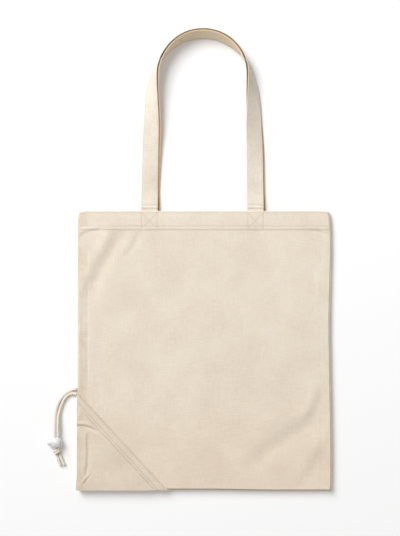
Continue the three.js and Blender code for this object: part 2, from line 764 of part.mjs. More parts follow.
function springSolid(x0, x1) {
  const radius = PLUNGER_TIP / 2 - SPRING_WIRE;
  const stepsPerTurn = 10;
  const steps = SPRING_TURNS * stepsPerTurn;
  const stations = [];
  for (let k = 0; k <= steps; k += 1) {
    const angle = (2 * Math.PI * k) / stepsPerTurn;
    const x = THREE.MathUtils.lerp(x0 + SPRING_WIRE / 2, x1 - SPRING_WIRE / 2, k / steps);
    stations.push({
      point: new THREE.Vector3(x, radius * Math.cos(angle), radius * Math.sin(angle)),
      across: new THREE.Vector3(1, 0, 0),
      up: new THREE.Vector3(0, Math.cos(angle), Math.sin(angle)),
    });
  }
  const w = SPRING_WIRE / 2;
  return outwardFacing(
    sweep(stations, [
      [w, 0],
      [0, w],
      [-w, 0],
      [0, -w],
    ]),
  );
}

addPanels();
addSeamAllowances();
addPouch();
addHandle("front_handle", 1);
addHandle("back_handle", -1);
addFreeCord();
addCordLock();

export default bag;
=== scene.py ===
"""A foldable cotton shopping bag lying on its back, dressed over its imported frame.

Shapes are worked out in millimetres, in the frame's own axes, and become metres when a piece is made.
"""

import logging
import math
from dataclasses import dataclass, replace
from enum import Enum
from typing import Callable, Optional, Sequence

import bmesh
import bpy
from bmesh.types import BMEdge, BMesh, BMVert
from bpy.types import Material, Node, NodeSocket, NodeTree, Object, ShaderNodeTree
from mathutils import Matrix, Vector, noise


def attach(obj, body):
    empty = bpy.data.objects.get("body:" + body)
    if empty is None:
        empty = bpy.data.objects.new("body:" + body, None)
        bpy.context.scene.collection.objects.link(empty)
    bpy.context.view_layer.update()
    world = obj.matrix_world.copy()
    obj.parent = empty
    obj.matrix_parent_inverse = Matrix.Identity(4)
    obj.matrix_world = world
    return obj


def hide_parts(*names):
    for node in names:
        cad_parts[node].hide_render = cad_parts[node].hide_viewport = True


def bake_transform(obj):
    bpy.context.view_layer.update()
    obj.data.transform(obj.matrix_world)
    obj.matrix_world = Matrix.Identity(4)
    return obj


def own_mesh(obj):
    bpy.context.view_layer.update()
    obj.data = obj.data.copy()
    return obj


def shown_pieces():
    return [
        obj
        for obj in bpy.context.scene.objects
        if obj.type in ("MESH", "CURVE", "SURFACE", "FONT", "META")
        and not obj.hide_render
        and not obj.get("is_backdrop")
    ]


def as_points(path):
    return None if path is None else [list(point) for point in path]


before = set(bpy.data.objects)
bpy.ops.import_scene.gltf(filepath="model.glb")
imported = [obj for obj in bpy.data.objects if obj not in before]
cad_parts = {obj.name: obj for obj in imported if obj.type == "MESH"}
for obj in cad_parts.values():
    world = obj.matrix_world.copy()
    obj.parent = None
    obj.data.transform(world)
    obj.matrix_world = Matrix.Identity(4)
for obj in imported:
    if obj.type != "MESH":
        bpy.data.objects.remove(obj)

LOG = logging.getLogger("bag")
MM = 0.001
ROUND = 180.0  # an angle that no edge passes, for pieces without crisp edges
Point = tuple[float, float, float]


class Body(Enum):
    """The frame's bodies that pieces ride on."""

    BACK = "bag_back"
    FRONT = "bag_front"
    FRONT_HANDLE = "front_handle"
    BACK_HANDLE = "back_handle"
    LOCK = "cord_lock"
    BUTTON = "lock_button"


class Slot(Enum):
    """The record's material slots."""

    BAG = "bag_cloth"
    STRAP = "strap_cloth"
    CORD = "cotton_cord"
    PLASTIC = "lock_plastic"
    STEEL = "spring_steel"


class Grain(Enum):
    """What a cloth's weave lines up with."""

    OBJECT = "Object"
    STRIP = "UV"


def smooth(t: float) -> float:
    """Returns 0 before a stretch, 1 after it and an even curve between them."""
    t = min(1.0, max(0.0, t))
    return t * t * (3 - 2 * t)


def quarter_round(t: float) -> float:
    """Returns the height of a quarter circle of radius 1, t of the way in from its edge."""
    t = min(1.0, max(0.0, t))
    return math.sqrt(max(0.0, 1 - (1 - t) ** 2))


def eased(t: float) -> float:
    """Returns a rise from 0 that levels off at 1, along a parabola."""
    t = min(1.0, max(0.0, t))
    return t * (2 - t)


def waver(x: float, y: float, z: float) -> float:
    """Returns a smooth unevenness between -1 and 1, always the same at one place."""
    return noise.noise(Vector((x, y, z)))


def bell(distance: float, width: float) -> float:
    """Returns a soft hump, 1 in its middle and near 0 at two widths from it."""
    return math.exp(-((distance / width) ** 2))


def profile_at(pairs: Sequence[tuple[float, float]], x: float) -> float:
    """Reads a smoothed line through pairs.

    Args:
        pairs: places along the line and the values there, in rising order.
        x: the place to read.

    Returns:
        The value at x, held at the first and last pair's outside them.
    """
    if x <= pairs[0][0]:
        return pairs[0][1]
    for (x0, y0), (x1, y1) in zip(pairs, pairs[1:]):
        if x <= x1:
            return y0 + (y1 - y0) * smooth((x - x0) / (x1 - x0))
    return pairs[-1][1]


def curve_at(pairs: Sequence[tuple[float, float]], x: float) -> float:
    """Reads an even curve through pairs.

    Args:
        pairs: places along the curve and the values there, in rising order.
        x: the place to read.

    Returns:
        The value at x, held at the first and last pair's outside them.
    """
    if x <= pairs[0][0]:
        return pairs[0][1]
    for k in range(1, len(pairs)):
        if x <= pairs[k][0]:
            (xa, ya), (xb, yb) = pairs[k - 1], pairs[k]
            before, after = pairs[max(k - 2, 0)], pairs[min(k + 1, len(pairs) - 1)]
            span = xb - xa
            slope_a = (yb - before[1]) / (xb - before[0])
            slope_b = (after[1] - ya) / (after[0] - xa)
            t = (x - xa) / span
            rise = (2 * t**3 - 3 * t**2 + 1) * ya + (3 * t**2 - 2 * t**3) * yb
            return rise + span * ((t**3 - 2 * t**2 + t) * slope_a + (t**3 - t**2) * slope_b)
    return pairs[-1][1]


def spread(start: float, end: float, step: float) -> list[float]:
    """Returns even places from start to end, both among them, about a step apart."""
    count = max(1, round(abs(end - start) / step))
    return [start + (end - start) * k / count for k in range(count + 1)]


def joined(*runs: Sequence[float]) -> list[float]:
    """Returns several runs of rising places as one, without those closer than a fiftieth."""
    places: list[float] = []
    for place in sorted(place for run in runs for place in run):
        if not places or place - places[-1] > 0.02:
            places.append(place)
    return places


def lie_on_curve(points: Sequence[Point], step: float) -> list[Vector]:
    """Draws a smooth line through points.

    Args:
        points: the points, in order.
        step: how far apart the line's own points are.

    Returns:
        Points along a centripetal Catmull-Rom curve, evenly spaced.
    """
    knots = [Vector(p) for p in points]
    knots = [2 * knots[0] - knots[1], *knots, 2 * knots[-1] - knots[-2]]
    dense: list[Vector] = []
    for a, b, c, d in zip(knots, knots[1:], knots[2:], knots[3:]):
        t1 = (b - a).length ** 0.5
        t2 = t1 + (c - b).length ** 0.5
        t3 = t2 + (d - c).length ** 0.5
        for k in range(16):
            t = t1 + (t2 - t1) * k / 16
            low = a + (b - a) * (t / t1)
            middle = b + (c - b) * ((t - t1) / (t2 - t1))
            high = c + (d - c) * ((t - t2) / (t3 - t2))
            near = low + (middle - low) * (t / t2)
            far = middle + (high - middle) * ((t - t1) / (t3 - t1))
            dense.append(near + (far - near) * ((t - t1) / (t2 - t1)))
    dense.append(knots[-2])
    total = sum((b - a).length for a, b in zip(dense, dense[1:]))
    count = max(2, round(total / step))
    line = [dense[0].copy()]
    walked, index = 0.0, 0
    for k in range(1, count):
        target = total * k / count
        while walked + (dense[index + 1] - dense[index]).length < target:
            walked += (dense[index + 1] - dense[index]).length
            index += 1
        stretch = (dense[index + 1] - dense[index]).length
        line.append(dense[index].lerp(dense[index + 1], (target - walked) / stretch))
    line.append(dense[-1].copy())
    return line


def line_length(points: Sequence[Vector]) -> float:
    """Returns the length of a line through points."""
    return sum((b - a).length for a, b in zip(points, points[1:]))


def sheet_mesh(columns: int, rows: int, place: Callable[[int, int], Point]) -> BMesh:
    """Makes one sheet of quads from a grid, with UVs in metres along its rows and columns.

    Args:
        columns: how many points the sheet has along its first direction.
        rows: how many along its second.
        place: gives a grid point's place in millimetres.

    Returns:
        The sheet, in millimetres.
    """
    bm = bmesh.new()
    bmesh.ops.create_grid(bm, x_segments=columns - 1, y_segments=rows - 1, size=0.5)
    spots: dict[BMVert, tuple[int, int]] = {}
    for vert in bm.verts:
        i = round((vert.co.x + 0.5) * (columns - 1))
        j = round((vert.co.y + 0.5) * (rows - 1))
        spots[vert] = (i, j)
        vert.co = place(i, j)
    at = {spot: vert.co for vert, spot in spots.items()}
    middle_row, middle_column = rows // 2, columns // 2
    along, across = [0.0], [0.0]
    for i in range(1, columns):
        along.append(along[-1] + (at[i, middle_row] - at[i - 1, middle_row]).length * MM)
    for j in range(1, rows):
        across.append(across[-1] + (at[middle_column, j] - at[middle_column, j - 1]).length * MM)
    uv = bm.loops.layers.uv.new("UVMap")
    for face in bm.faces:
        for loop in face.loops:
            i, j = spots[loop.vert]
            loop[uv].uv = (along[i], across[j])
    return bm


def tube_mesh(rings: Sequence[Sequence[Vector]]) -> BMesh:
    """Makes a closed tube from rings of points, with closed ends and UVs along it and round it.

    Args:
        rings: the rings in order, each with the same number of points, in millimetres.

    Returns:
        The tube, facing outwards.
    """
    size = len(rings[0])
    bm = sheet_mesh(len(rings), size + 1, lambda i, j: tuple(rings[i][j % size]))
    bmesh.ops.remove_doubles(bm, verts=bm.verts, dist=1e-4)
    bmesh.ops.holes_fill(bm, edges=[e for e in bm.edges if e.is_boundary], sides=0)
    bmesh.ops.recalc_face_normals(bm, faces=bm.faces)
    return bm


def mark_creases(bm: BMesh, degrees: float) -> None:
    """Keeps edges sharper than an angle crisp in a smoothly shaded mesh.

    Args:
        bm: the mesh.
        degrees: the angle between two faces from which their edge is crisp.
    """
    limit = math.radians(degrees)
    for edge in bm.edges:
        if len(edge.link_faces) != 2 or edge.calc_face_angle(0.0) > limit:
            edge.smooth = False


@dataclass(frozen=True)
class Stray:
    """How far the lying bag's sides and corners stray from the straight, in millimetres."""

    right_bow: Sequence[tuple[float, float]] = (
        (-212, 2.1), (-180, 2.5), (-135, 2.4), (-90, 1.8), (-48, 1.0), (-5, 0.5), (20, 0.0), (55, 0.1),
        (90, 0.9), (120, 1.5), (145, 2.1), (165, 2.0), (185, 1.5), (205, 0.3), (214, 0.0),
    )
    bow_from: float = 100.0
    bow_over: float = 88.0
    past_mouth: float = 214.0
    upper_right: tuple[float, float] = (-1.2, -1.3)
    upper_left: tuple[float, float] = (2.1, -1.8)
    lower_right_sag: float = 1.4
    lower_left_spread: float = 1.3

    def settle(self, bm: BMesh) -> None:
        """Moves a mesh with the bag's sides and corners, as every cloth and thread there moves.

        Args:
            bm: the mesh, in millimetres.
        """
        for vert in bm.verts:
            x, y = vert.co.x, vert.co.y
            if x > self.bow_from and abs(y) < self.past_mouth:
                corner = smooth((x - 180) / 9) * smooth((y - 199) / 10)
                bow = curve_at(self.right_bow, y) * smooth((x - self.bow_from) / self.bow_over)
                vert.co.x += bow + self.upper_right[0] * corner
                vert.co.y += self.upper_right[1] * corner
            if x > 0 and y < -100:
                vert.co.y -= self.lower_right_sag * smooth(x / 110) * smooth((-100 - y) / 108)
            if x < -150 and y < -185:
                vert.co.x -= self.lower_left_spread * smooth((-150 - x) / 34) * smooth((-185 - y) / 20)
            if x < -176 and 196 < y < self.past_mouth:
                corner = smooth((-176 - x) / 13) * smooth((y - 196) / 12)
                vert.co.x += self.upper_left[0] * corner
                vert.co.y += self.upper_left[1] * corner


STRAY = Stray()


def new_object(name: str, bm: BMesh) -> Object:
    """Puts a mesh into the scene as an object at the origin.

    Args:
        name: the name of the object and of its mesh.
        bm: the mesh, which is used up.

    Returns:
        The new object.
    """
    mesh = bpy.data.meshes.new(name)
    bm.to_mesh(mesh)
    bm.free()
    made = bpy.data.objects.new(name, mesh)
    bpy.context.scene.collection.objects.link(made)
    return made


def drop_object(made: Object) -> None:
    """Takes a working object and its mesh away again."""
    mesh = made.data
    bpy.data.objects.remove(made)
    bpy.data.meshes.remove(mesh)


def make_piece(name: str, bm: BMesh, finish: "Finish", creases: float = 50) -> Object:
    """Turns a mesh in millimetres into a finished object at the origin.

    Args:
        name: the piece's name.
        bm: its mesh, which is used up.
        finish: what it is made of.
        creases: the angle in degrees from which an edge is crisp.

    Returns:
        The new object.
    """
    STRAY.settle(bm)
    bmesh.ops.scale(bm, vec=(MM, MM, MM), verts=bm.verts)
    mark_creases(bm, creases)
    for face in bm.faces:
        face.smooth = True
    piece = new_object(name, bm)
    piece.data.materials.append(finish.material())
    return piece


def thickened(bm: BMesh, thickness: float) -> BMesh:
    """Gives a sheet its thickness, half to each side.

    Args:
        bm: the sheet, in millimetres, which is used up.
        thickness: the cloth's thickness in millimetres.

    Returns:
        The closed sheet, facing outwards.
    """
    blank = new_object("cloth_blank", bm)
    solid = blank.modifiers.new("Thickness", "SOLIDIFY")
    solid.thickness = thickness
    solid.offset = 0
    solid.use_even_offset = False
    graph = bpy.context.evaluated_depsgraph_get()
    done = bmesh.new()
    done.from_object(blank, graph)
    drop_object(blank)
    bmesh.ops.recalc_face_normals(done, faces=done.faces)
    return done


def trimmed(bm: BMesh, point: Point, normal: Point, close: bool = False) -> BMesh:
    """Cuts a mesh at a plane and drops the side that the normal points to.

    Args:
        bm: the mesh, in millimetres.
        point: a point of the plane.
        normal: the plane's direction.
        close: whether the cut is closed again.

    Returns:
        The same mesh.
    """
    geometry = bm.verts[:] + bm.edges[:] + bm.faces[:]
    cut = bmesh.ops.bisect_plane(
        bm, geom=geometry, dist=1e-5, plane_co=point, plane_no=normal, clear_outer=True
    )
    if close:
        edges = [e for e in cut["geom_cut"] if isinstance(e, BMEdge) and e.is_boundary]
        bmesh.ops.holes_fill(bm, edges=edges, sides=0)
    return bm


class Nodes:
    """Wires shader nodes inside one material or group."""

    def __init__(self, tree: NodeTree) -> None:
        """Takes over a tree and empties it."""
        self.tree = tree
        tree.nodes.clear()

    def add(self, kind: str, **settings: object) -> Node:
        """Adds a node.

        Args:
            kind: the node's type.
            settings: its own properties, by name.

        Returns:
            The node.
        """
        node = self.tree.nodes.new(kind)
        for name, value in settings.items():
            setattr(node, name, value)
        return node

    def link(self, source: NodeSocket, target: NodeSocket) -> None:
        """Joins two sockets."""
        self.tree.links.new(source, target)

    def plug(self, value: object, target: NodeSocket) -> None:
        """Feeds a socket from another one, or sets it to a number or a colour."""
        if isinstance(value, NodeSocket):
            self.link(value, target)
        else:
            target.default_value = value

    def feed(self, node: Node, values: dict[str, object]) -> None:
        """Plugs several of a node's inputs, by name."""
        for name, value in values.items():
            self.plug(value, node.inputs[name])

    def math(self, operation: str, *values: object) -> NodeSocket:
        """Adds a sum.

        Args:
            operation: the Math node's operation.
            values: sockets or numbers, in order.

        Returns:
            The result.
        """
        node = self.add("ShaderNodeMath", operation=operation)
        for socket, value in zip(node.inputs, values):
            self.plug(value, socket)
        return node.outputs[0]

    def mix(self, amount: object, first: object, second: object, blend: str = "MIX") -> NodeSocket:
        """Mixes two colours.

        Args:
            amount: how much of the second, a socket or a number.
            first: the first colour, a socket or a tuple.
            second: the second colour.
            blend: the way that they mix.

        Returns:
            The mixed colour.
        """
        node = self.add("ShaderNodeMix", data_type="RGBA", blend_type=blend)
        for index, value in ((0, amount), (6, first), (7, second)):
            self.plug(value, node.inputs[index])
        return node.outputs[2]

    def noise(
        self, vector: NodeSocket, scale: float, detail: float = 2, stretch: Optional[Point] = None
    ) -> NodeSocket:
        """Adds a noise pattern.

        Args:
            vector: where it is read.
            scale: its scale, in repeats a metre.
            detail: how many finer layers it has.
            stretch: how much each axis is squeezed first.

        Returns:
            The noise, from 0 to 1.
        """
        if stretch is not None:
            mapping = self.add("ShaderNodeMapping")
            self.feed(mapping, {"Scale": stretch, "Vector": vector})
            vector = mapping.outputs[0]
        node = self.add("ShaderNodeTexNoise")
        self.feed(node, {"Scale": scale, "Detail": detail, "Vector": vector})
        return node.outputs[0]

    def bump(self, height: NodeSocket, distance: float, shader: Node) -> None:
        """Gives a shader relief.

        Args:
            height: the relief's height.
            distance: how far a height of 1 stands out, in metres.
            shader: the shader that takes it.
        """
        node = self.add("ShaderNodeBump")
        self.feed(node, {"Distance": distance, "Height": height})
        self.link(node.outputs[0], shader.inputs["Normal"])

    def between(self, value: NodeSocket, low: float, high: float, start: float, end: float) -> NodeSocket:
        """Maps a value's stretch from low to high evenly onto one from start to end, held outside."""
        node = self.add("ShaderNodeMapRange")
        for index, number in ((1, low), (2, high), (3, start), (4, end)):
            node.inputs[index].default_value = number
        self.link(value, node.inputs[0])
        return node.outputs[0]


def new_group(
    name: str, inputs: Sequence[tuple[str, str, object]], outputs: Sequence[tuple[str, str]]
) -> tuple[Nodes, Node, Node]:
    """Starts a shader node group.

    Args:
        name: the group's name.
        inputs: each input's name, socket type and default value.
        outputs: each output's name and socket type.

    Returns:
        Its wiring, its input node and its output node.
    """
    group = bpy.data.node_groups.new(name, "ShaderNodeTree")
    for label, kind, value in inputs:
        socket = group.interface.new_socket(name=label, in_out="INPUT", socket_type=kind)
        if value is not None:
            socket.default_value = value
    for label, kind in outputs:
        group.interface.new_socket(name=label, in_out="OUTPUT", socket_type=kind)
    nodes = Nodes(group)
    return nodes, nodes.add("NodeGroupInput"), nodes.add("NodeGroupOutput")


def plain_weave_group() -> ShaderNodeTree:
    """Builds the group for cloth woven one over, one under.

    Returns:
        A group that gives the threads' height, how deep a point lies between threads, and the uneven
        thickness of the threads as streaks along and across.
    """
    existing = bpy.data.node_groups.get("plain_weave")
    if existing:
        return existing
    nodes, start, end = new_group(
        "plain_weave",
        [("Vector", "NodeSocketVector", None), ("Threads", "NodeSocketFloat", 2000.0)],
        [("Height", "NodeSocketFloat"), ("Gaps", "NodeSocketFloat"), ("Streaks", "NodeSocketFloat")],
    )
    vector, threads = start.outputs[0], start.outputs[1]
    wobble = nodes.add("ShaderNodeTexNoise")
    nodes.feed(wobble, {"Scale": 260, "Detail": 1, "Vector": vector})
    shift = nodes.add("ShaderNodeVectorMath", operation="SCALE")
    nodes.feed(shift, {"Scale": 0.00045})
    nodes.link(wobble.outputs["Color"], shift.inputs[0])
    moved = nodes.add("ShaderNodeVectorMath", operation="ADD")
    nodes.link(vector, moved.inputs[0])
    nodes.link(shift.outputs[0], moved.inputs[1])
    parts = nodes.add("ShaderNodeSeparateXYZ")
    nodes.link(moved.outputs[0], parts.inputs[0])
    waves = []
    for axis in (0, 1):
        turns = nodes.math("MULTIPLY", nodes.math("MULTIPLY", parts.outputs[axis], threads), math.pi)
        waves.append(nodes.math("SINE", turns))
    rounds = [nodes.math("ABSOLUTE", wave) for wave in waves]
    over = nodes.math("GREATER_THAN", nodes.math("MULTIPLY", waves[0], waves[1]), 0.0)
    warp = nodes.math("MULTIPLY", rounds[0], nodes.math("POWER", rounds[1], 0.4))
    weft = nodes.math("MULTIPLY", rounds[1], nodes.math("POWER", rounds[0], 0.4))
    chosen = nodes.math(
        "ADD",
        nodes.math("MULTIPLY", warp, over),
        nodes.math("MULTIPLY", weft, nodes.math("SUBTRACT", 1.0, over)),
    )
    warp_slubs = nodes.noise(vector, 760, 1, (1.0, 0.11, 0.3))
    weft_slubs = nodes.noise(vector, 700, 1, (0.11, 1.0, 0.3))
    streaks = nodes.math("MULTIPLY", nodes.math("ADD", warp_slubs, weft_slubs), 0.5)
    nodes.link(nodes.math("ADD", chosen, nodes.math("MULTIPLY", streaks, 0.8)), end.inputs["Height"])
    nodes.link(nodes.math("SUBTRACT", 1.0, nodes.math("MULTIPLY", rounds[0], rounds[1])), end.inputs["Gaps"])
    nodes.link(streaks, end.inputs["Streaks"])
    return nodes.tree


def mottle_group() -> ShaderNodeTree:
    """Builds the group for undyed cotton's uneven colour.

    Returns:
        A group that takes a light, a dark and a third colour, for seed flecks and for painted shade between
        the threads, and gives the cotton's colour, from broad clouds, the thread streaks, that painted shade
        and a few small seed flecks.
    """
    existing = bpy.data.node_groups.get("cotton_mottle")
    if existing:
        return existing
    colour = "NodeSocketColor"
    nodes, start, end = new_group(
        "cotton_mottle",
        [
            ("Vector", "NodeSocketVector", None),
            ("Light", colour, (0.8, 0.8, 0.8, 1)),
            ("Dark", colour, (0.7, 0.7, 0.7, 1)),
            ("Fleck", colour, (0.3, 0.2, 0.1, 1)),
            ("Streaks", "NodeSocketFloat", 0.5),
            ("Gaps", "NodeSocketFloat", 0.0),
            ("Flecks", "NodeSocketFloat", 1.0),
        ],
        [("Color", colour)],
    )
    vector = start.outputs["Vector"]
    clouds = nodes.between(nodes.noise(vector, 22, 3), 0.34, 0.66, 0.0, 1.0)
    streaks = nodes.between(start.outputs["Streaks"], 0.36, 0.64, 0.0, 1.0)
    amount = nodes.math("ADD", nodes.math("MULTIPLY", clouds, 0.5), nodes.math("MULTIPLY", streaks, 0.5))
    base = nodes.mix(amount, start.outputs["Light"], start.outputs["Dark"])
    # painted shade between the threads, deepest in the gaps
    gaps = nodes.math("MULTIPLY", nodes.math("POWER", start.outputs["Gaps"], 3.0), 0.16)
    shaded = nodes.mix(gaps, base, start.outputs["Fleck"])
    cells = nodes.add("ShaderNodeTexVoronoi")
    nodes.feed(cells, {"Scale": 62, "Vector": vector})
    near = nodes.between(cells.outputs["Distance"], 0.02, 0.045, 1.0, 0.0)
    picked = nodes.add("ShaderNodeSeparateColor")
    nodes.link(cells.outputs["Color"], picked.inputs[0])
    rare = nodes.math("GREATER_THAN", picked.outputs[0], 0.9)
    seeds = nodes.math("MULTIPLY", nodes.math("MULTIPLY", near, rare), start.outputs["Flecks"])
    nodes.link(nodes.mix(seeds, shaded, start.outputs["Fleck"]), end.inputs["Color"])
    return nodes.tree


def twisted_yarn_group() -> ShaderNodeTree:
    """Builds the group for yarn twisted out of fine strands.

    Returns:
        A group that reads a piece's UVs, along it and round it, and gives the strands' height and a
        0 to 1 tone that follows them.
    """
    existing = bpy.data.node_groups.get("twisted_yarn")
    if existing:
        return existing
    nodes, start, end = new_group(
        "twisted_yarn",
        [("Vector", "NodeSocketVector", None), ("Strands", "NodeSocketFloat", 1500.0)],
        [("Height", "NodeSocketFloat"), ("Tone", "NodeSocketFloat")],
    )
    parts = nodes.add("ShaderNodeSeparateXYZ")
    nodes.link(start.outputs[0], parts.inputs[0])
    slanted = nodes.math("ADD", nodes.math("MULTIPLY", parts.outputs[0], 0.8), parts.outputs[1])
    rough = nodes.noise(start.outputs[0], 700, 2)
    place = nodes.math("ADD", nodes.math("MULTIPLY", slanted, start.outputs[1]), rough)
    wave = nodes.math("ABSOLUTE", nodes.math("SINE", nodes.math("MULTIPLY", place, math.pi)))
    nodes.link(nodes.math("ADD", wave, nodes.math("MULTIPLY", rough, 0.6)), end.inputs["Height"])
    nodes.link(nodes.math("MULTIPLY", nodes.math("ADD", wave, rough), 0.55), end.inputs["Tone"])
    return nodes.tree


def use_group(nodes: Nodes, group: ShaderNodeTree, **values: object) -> Node:
    """Places a group in a material.

    Args:
        nodes: the material's wiring.
        group: the group.
        values: sockets, numbers or colours for its inputs, by name.

    Returns:
        The group's node.
    """
    node = nodes.add("ShaderNodeGroup", node_tree=group)
    nodes.feed(node, values)
    return node


Colour = tuple[float, float, float, float]


def paint(red: int, green: int, blue: int) -> Colour:
    """Returns a screen colour, 0 to 255, as the linear colour that a shader takes."""
    parts = []
    for value in (red, green, blue):
        level = value / 255
        parts.append(level / 12.92 if level <= 0.04045 else ((level + 0.055) / 1.055) ** 2.4)
    return (parts[0], parts[1], parts[2], 1.0)


@dataclass(frozen=True)
class Finish:
    """What a piece is made of. Each kind wires its own material."""

    name: str
    slot: Slot

    def material(self) -> Material:
        """Returns the finish's material, made once."""
        existing = bpy.data.materials.get(self.name)
        if existing:
            return existing
        material = bpy.data.materials.new(self.name)
        material.use_nodes = True
        nodes = Nodes(material.node_tree)
        output = nodes.add("ShaderNodeOutputMaterial")
        shader = nodes.add("ShaderNodeBsdfPrincipled")
        nodes.link(shader.outputs[0], output.inputs["Surface"])
        self.wire(nodes, shader)
        return material

    def wire(self, nodes: Nodes, shader: Node) -> None:
        """Feeds the shader; each kind of finish has its own."""
        raise NotImplementedError


@dataclass(frozen=True)
class Calico(Finish):
    """Undyed plain-woven cotton, with painted shade: a little browner over the left seam, and darker and
    warmer towards the bag's foot.
    """

    light: Colour = paint(240, 231, 215)
    dark: Colour = paint(228, 215, 198)
    # colour of the seed flecks, also used for painted shade between the threads
    fleck_and_gap_shade: Colour = paint(150, 120, 86)
    threads: float = 1950.0
    relief: float = 0.00012
    flecks: float = 1.0
    glow: float = 0.25
    glow_depth: float = 0.0006
    grain: Grain = Grain.OBJECT
    # painted shade: a brownish tint in uneven patches over the left seam, from where it starts
    seam_shade_start: float = 0.0
    seam_shade_tint: Colour = paint(250, 247, 243)
    # painted shade: a darker, warmer tint towards the bag's foot
    foot: Colour = paint(255, 255, 255)

    def wire(self, nodes: Nodes, shader: Node) -> None:
        """Feeds the shader its mottled colour, weave bump and soft fuzz.

        Args:
            nodes: the material's wiring.
            shader: its Principled shader.
        """
        vector = nodes.add("ShaderNodeTexCoord").outputs[self.grain.value]
        weave = use_group(nodes, plain_weave_group(), Vector=vector, Threads=self.threads)
        tone = use_group(
            nodes,
            mottle_group(),
            Vector=vector,
            Light=self.light,
            Dark=self.dark,
            Fleck=self.fleck_and_gap_shade,
            Streaks=weave.outputs["Streaks"],
            Gaps=weave.outputs["Gaps"],
            Flecks=self.flecks,
        )
        colour = tone.outputs[0]
        if self.seam_shade_start:
            # painted shade over the left seam
            parts = nodes.add("ShaderNodeSeparateXYZ")
            nodes.link(vector, parts.inputs[0])
            patches = nodes.between(nodes.noise(vector, 34, 2), 0.35, 0.65, -0.009, 0.003)
            beside = nodes.math("SUBTRACT", patches, parts.outputs[0])
            share = nodes.between(beside, self.seam_shade_start, self.seam_shade_start + 0.006, 0.0, 1.0)
            colour = nodes.mix(share, colour, nodes.mix(1.0, colour, self.seam_shade_tint, "MULTIPLY"))
            # painted shade, darker and warmer towards the bag's foot
            low = nodes.between(parts.outputs[1], -0.17, -0.02, 1.0, 0.0)
            colour = nodes.mix(low, colour, nodes.mix(1.0, colour, self.foot, "MULTIPLY"))
        look = {
            "Base Color": colour,
            "Roughness": nodes.between(weave.outputs["Height"], 0.0, 1.6, 0.97, 0.82),
            "Specular IOR Level": 0.22,
            "Sheen Weight": 0.08,
            "Sheen Roughness": 0.5,
            "Subsurface Weight": self.glow,
            "Subsurface Radius": (1.0, 0.78, 0.6),
            "Subsurface Scale": self.glow_depth,
        }
        nodes.feed(shader, look)
        crumple = nodes.noise(vector, 190, 3)
        height = nodes.math("ADD", weave.outputs["Height"], nodes.math("MULTIPLY", crumple, 1.6))
        nodes.bump(height, self.relief, shader)


@dataclass(frozen=True)
class Strapping(Calico):
    """Cotton folded into a strap, with painted brown shade along both edges of the face that lies against its
    pair.
    """

    # painted shade: the brown of the shaded gap between the two straps
    inner: Colour = paint(230, 198, 158)
    inner_edge: float = 0.0028
    inner_from: float = 0.0264
    inner_to: float = 0.0512

    def wire(self, nodes: Nodes, shader: Node) -> None:
        """Feeds the shader as plain cloth does, then paints brown shade along both edges of the inner face,
        for the shaded gap between the straps.

        Args:
            nodes: the material's wiring.
            shader: its Principled shader.
        """
        super().wire(nodes, shader)
        outer = shader.inputs["Base Color"].links[0].from_socket
        parts = nodes.add("ShaderNodeSeparateXYZ")
        nodes.link(nodes.add("ShaderNodeTexCoord").outputs["UV"], parts.inputs[0])
        middle = (self.inner_from + self.inner_to) / 2
        half = (self.inner_to - self.inner_from) / 2
        off = nodes.math("ABSOLUTE", nodes.math("SUBTRACT", parts.outputs[1], middle))
        begun = nodes.between(off, half - self.inner_edge - 0.001, half - self.inner_edge, 0.0, 1.0)
        share = nodes.math("MULTIPLY", begun, nodes.between(off, half - 0.0008, half, 1.0, 0.0))
        # painted shade along both edges of the inner face
        gap_shade = nodes.mix(1.0, outer, self.inner, "MULTIPLY")
        nodes.link(nodes.mix(share, outer, gap_shade), shader.inputs["Base Color"])


@dataclass(frozen=True)
class Yarn(Finish):
    """Cotton twisted into thread or cord."""

    light: Colour = paint(242, 236, 224)
    dark: Colour = paint(212, 198, 176)
    strands: float = 1500.0
    relief: float = 0.00015

    def wire(self, nodes: Nodes, shader: Node) -> None:
        """Feeds the shader the tone and relief of its strands.

        Args:
            nodes: the material's wiring.
            shader: its Principled shader.
        """
        vector = nodes.add("ShaderNodeTexCoord").outputs["UV"]
        yarn = use_group(nodes, twisted_yarn_group(), Vector=vector, Strands=self.strands)
        look = {
            "Base Color": nodes.mix(yarn.outputs["Tone"], self.dark, self.light),
            "Roughness": nodes.between(yarn.outputs["Height"], 0.0, 1.6, 0.95, 0.78),
            "Specular IOR Level": 0.25,
            "Sheen Weight": 0.12,
        }
        nodes.feed(shader, look)
        nodes.bump(yarn.outputs["Height"], self.relief, shader)


@dataclass(frozen=True)
class MouldedPlastic(Finish):
    """Glossy white plastic with faint moulding ripples and handling scuffs."""

    colour: Colour = paint(221, 220, 223)
    scuff: Colour = paint(202, 201, 202)
    relief: float = 0.00004

    def wire(self, nodes: Nodes, shader: Node) -> None:
        """Feeds the shader faint scuffs and ripples.

        Args:
            nodes: the material's wiring.
            shader: its Principled shader.
        """
        vector = nodes.add("ShaderNodeTexCoord").outputs["Object"]
        scuffs = nodes.between(nodes.noise(vector, 420, 4), 0.56, 0.74, 0.0, 1.0)
        look = {
            "Base Color": nodes.mix(scuffs, self.colour, self.scuff),
            "Roughness": nodes.math("ADD", nodes.math("MULTIPLY", scuffs, 0.25), 0.2),
            "Coat Weight": 0.35,
            "Coat Roughness": 0.12,
        }
        nodes.feed(shader, look)
        nodes.bump(nodes.noise(vector, 260, 2), self.relief, shader)


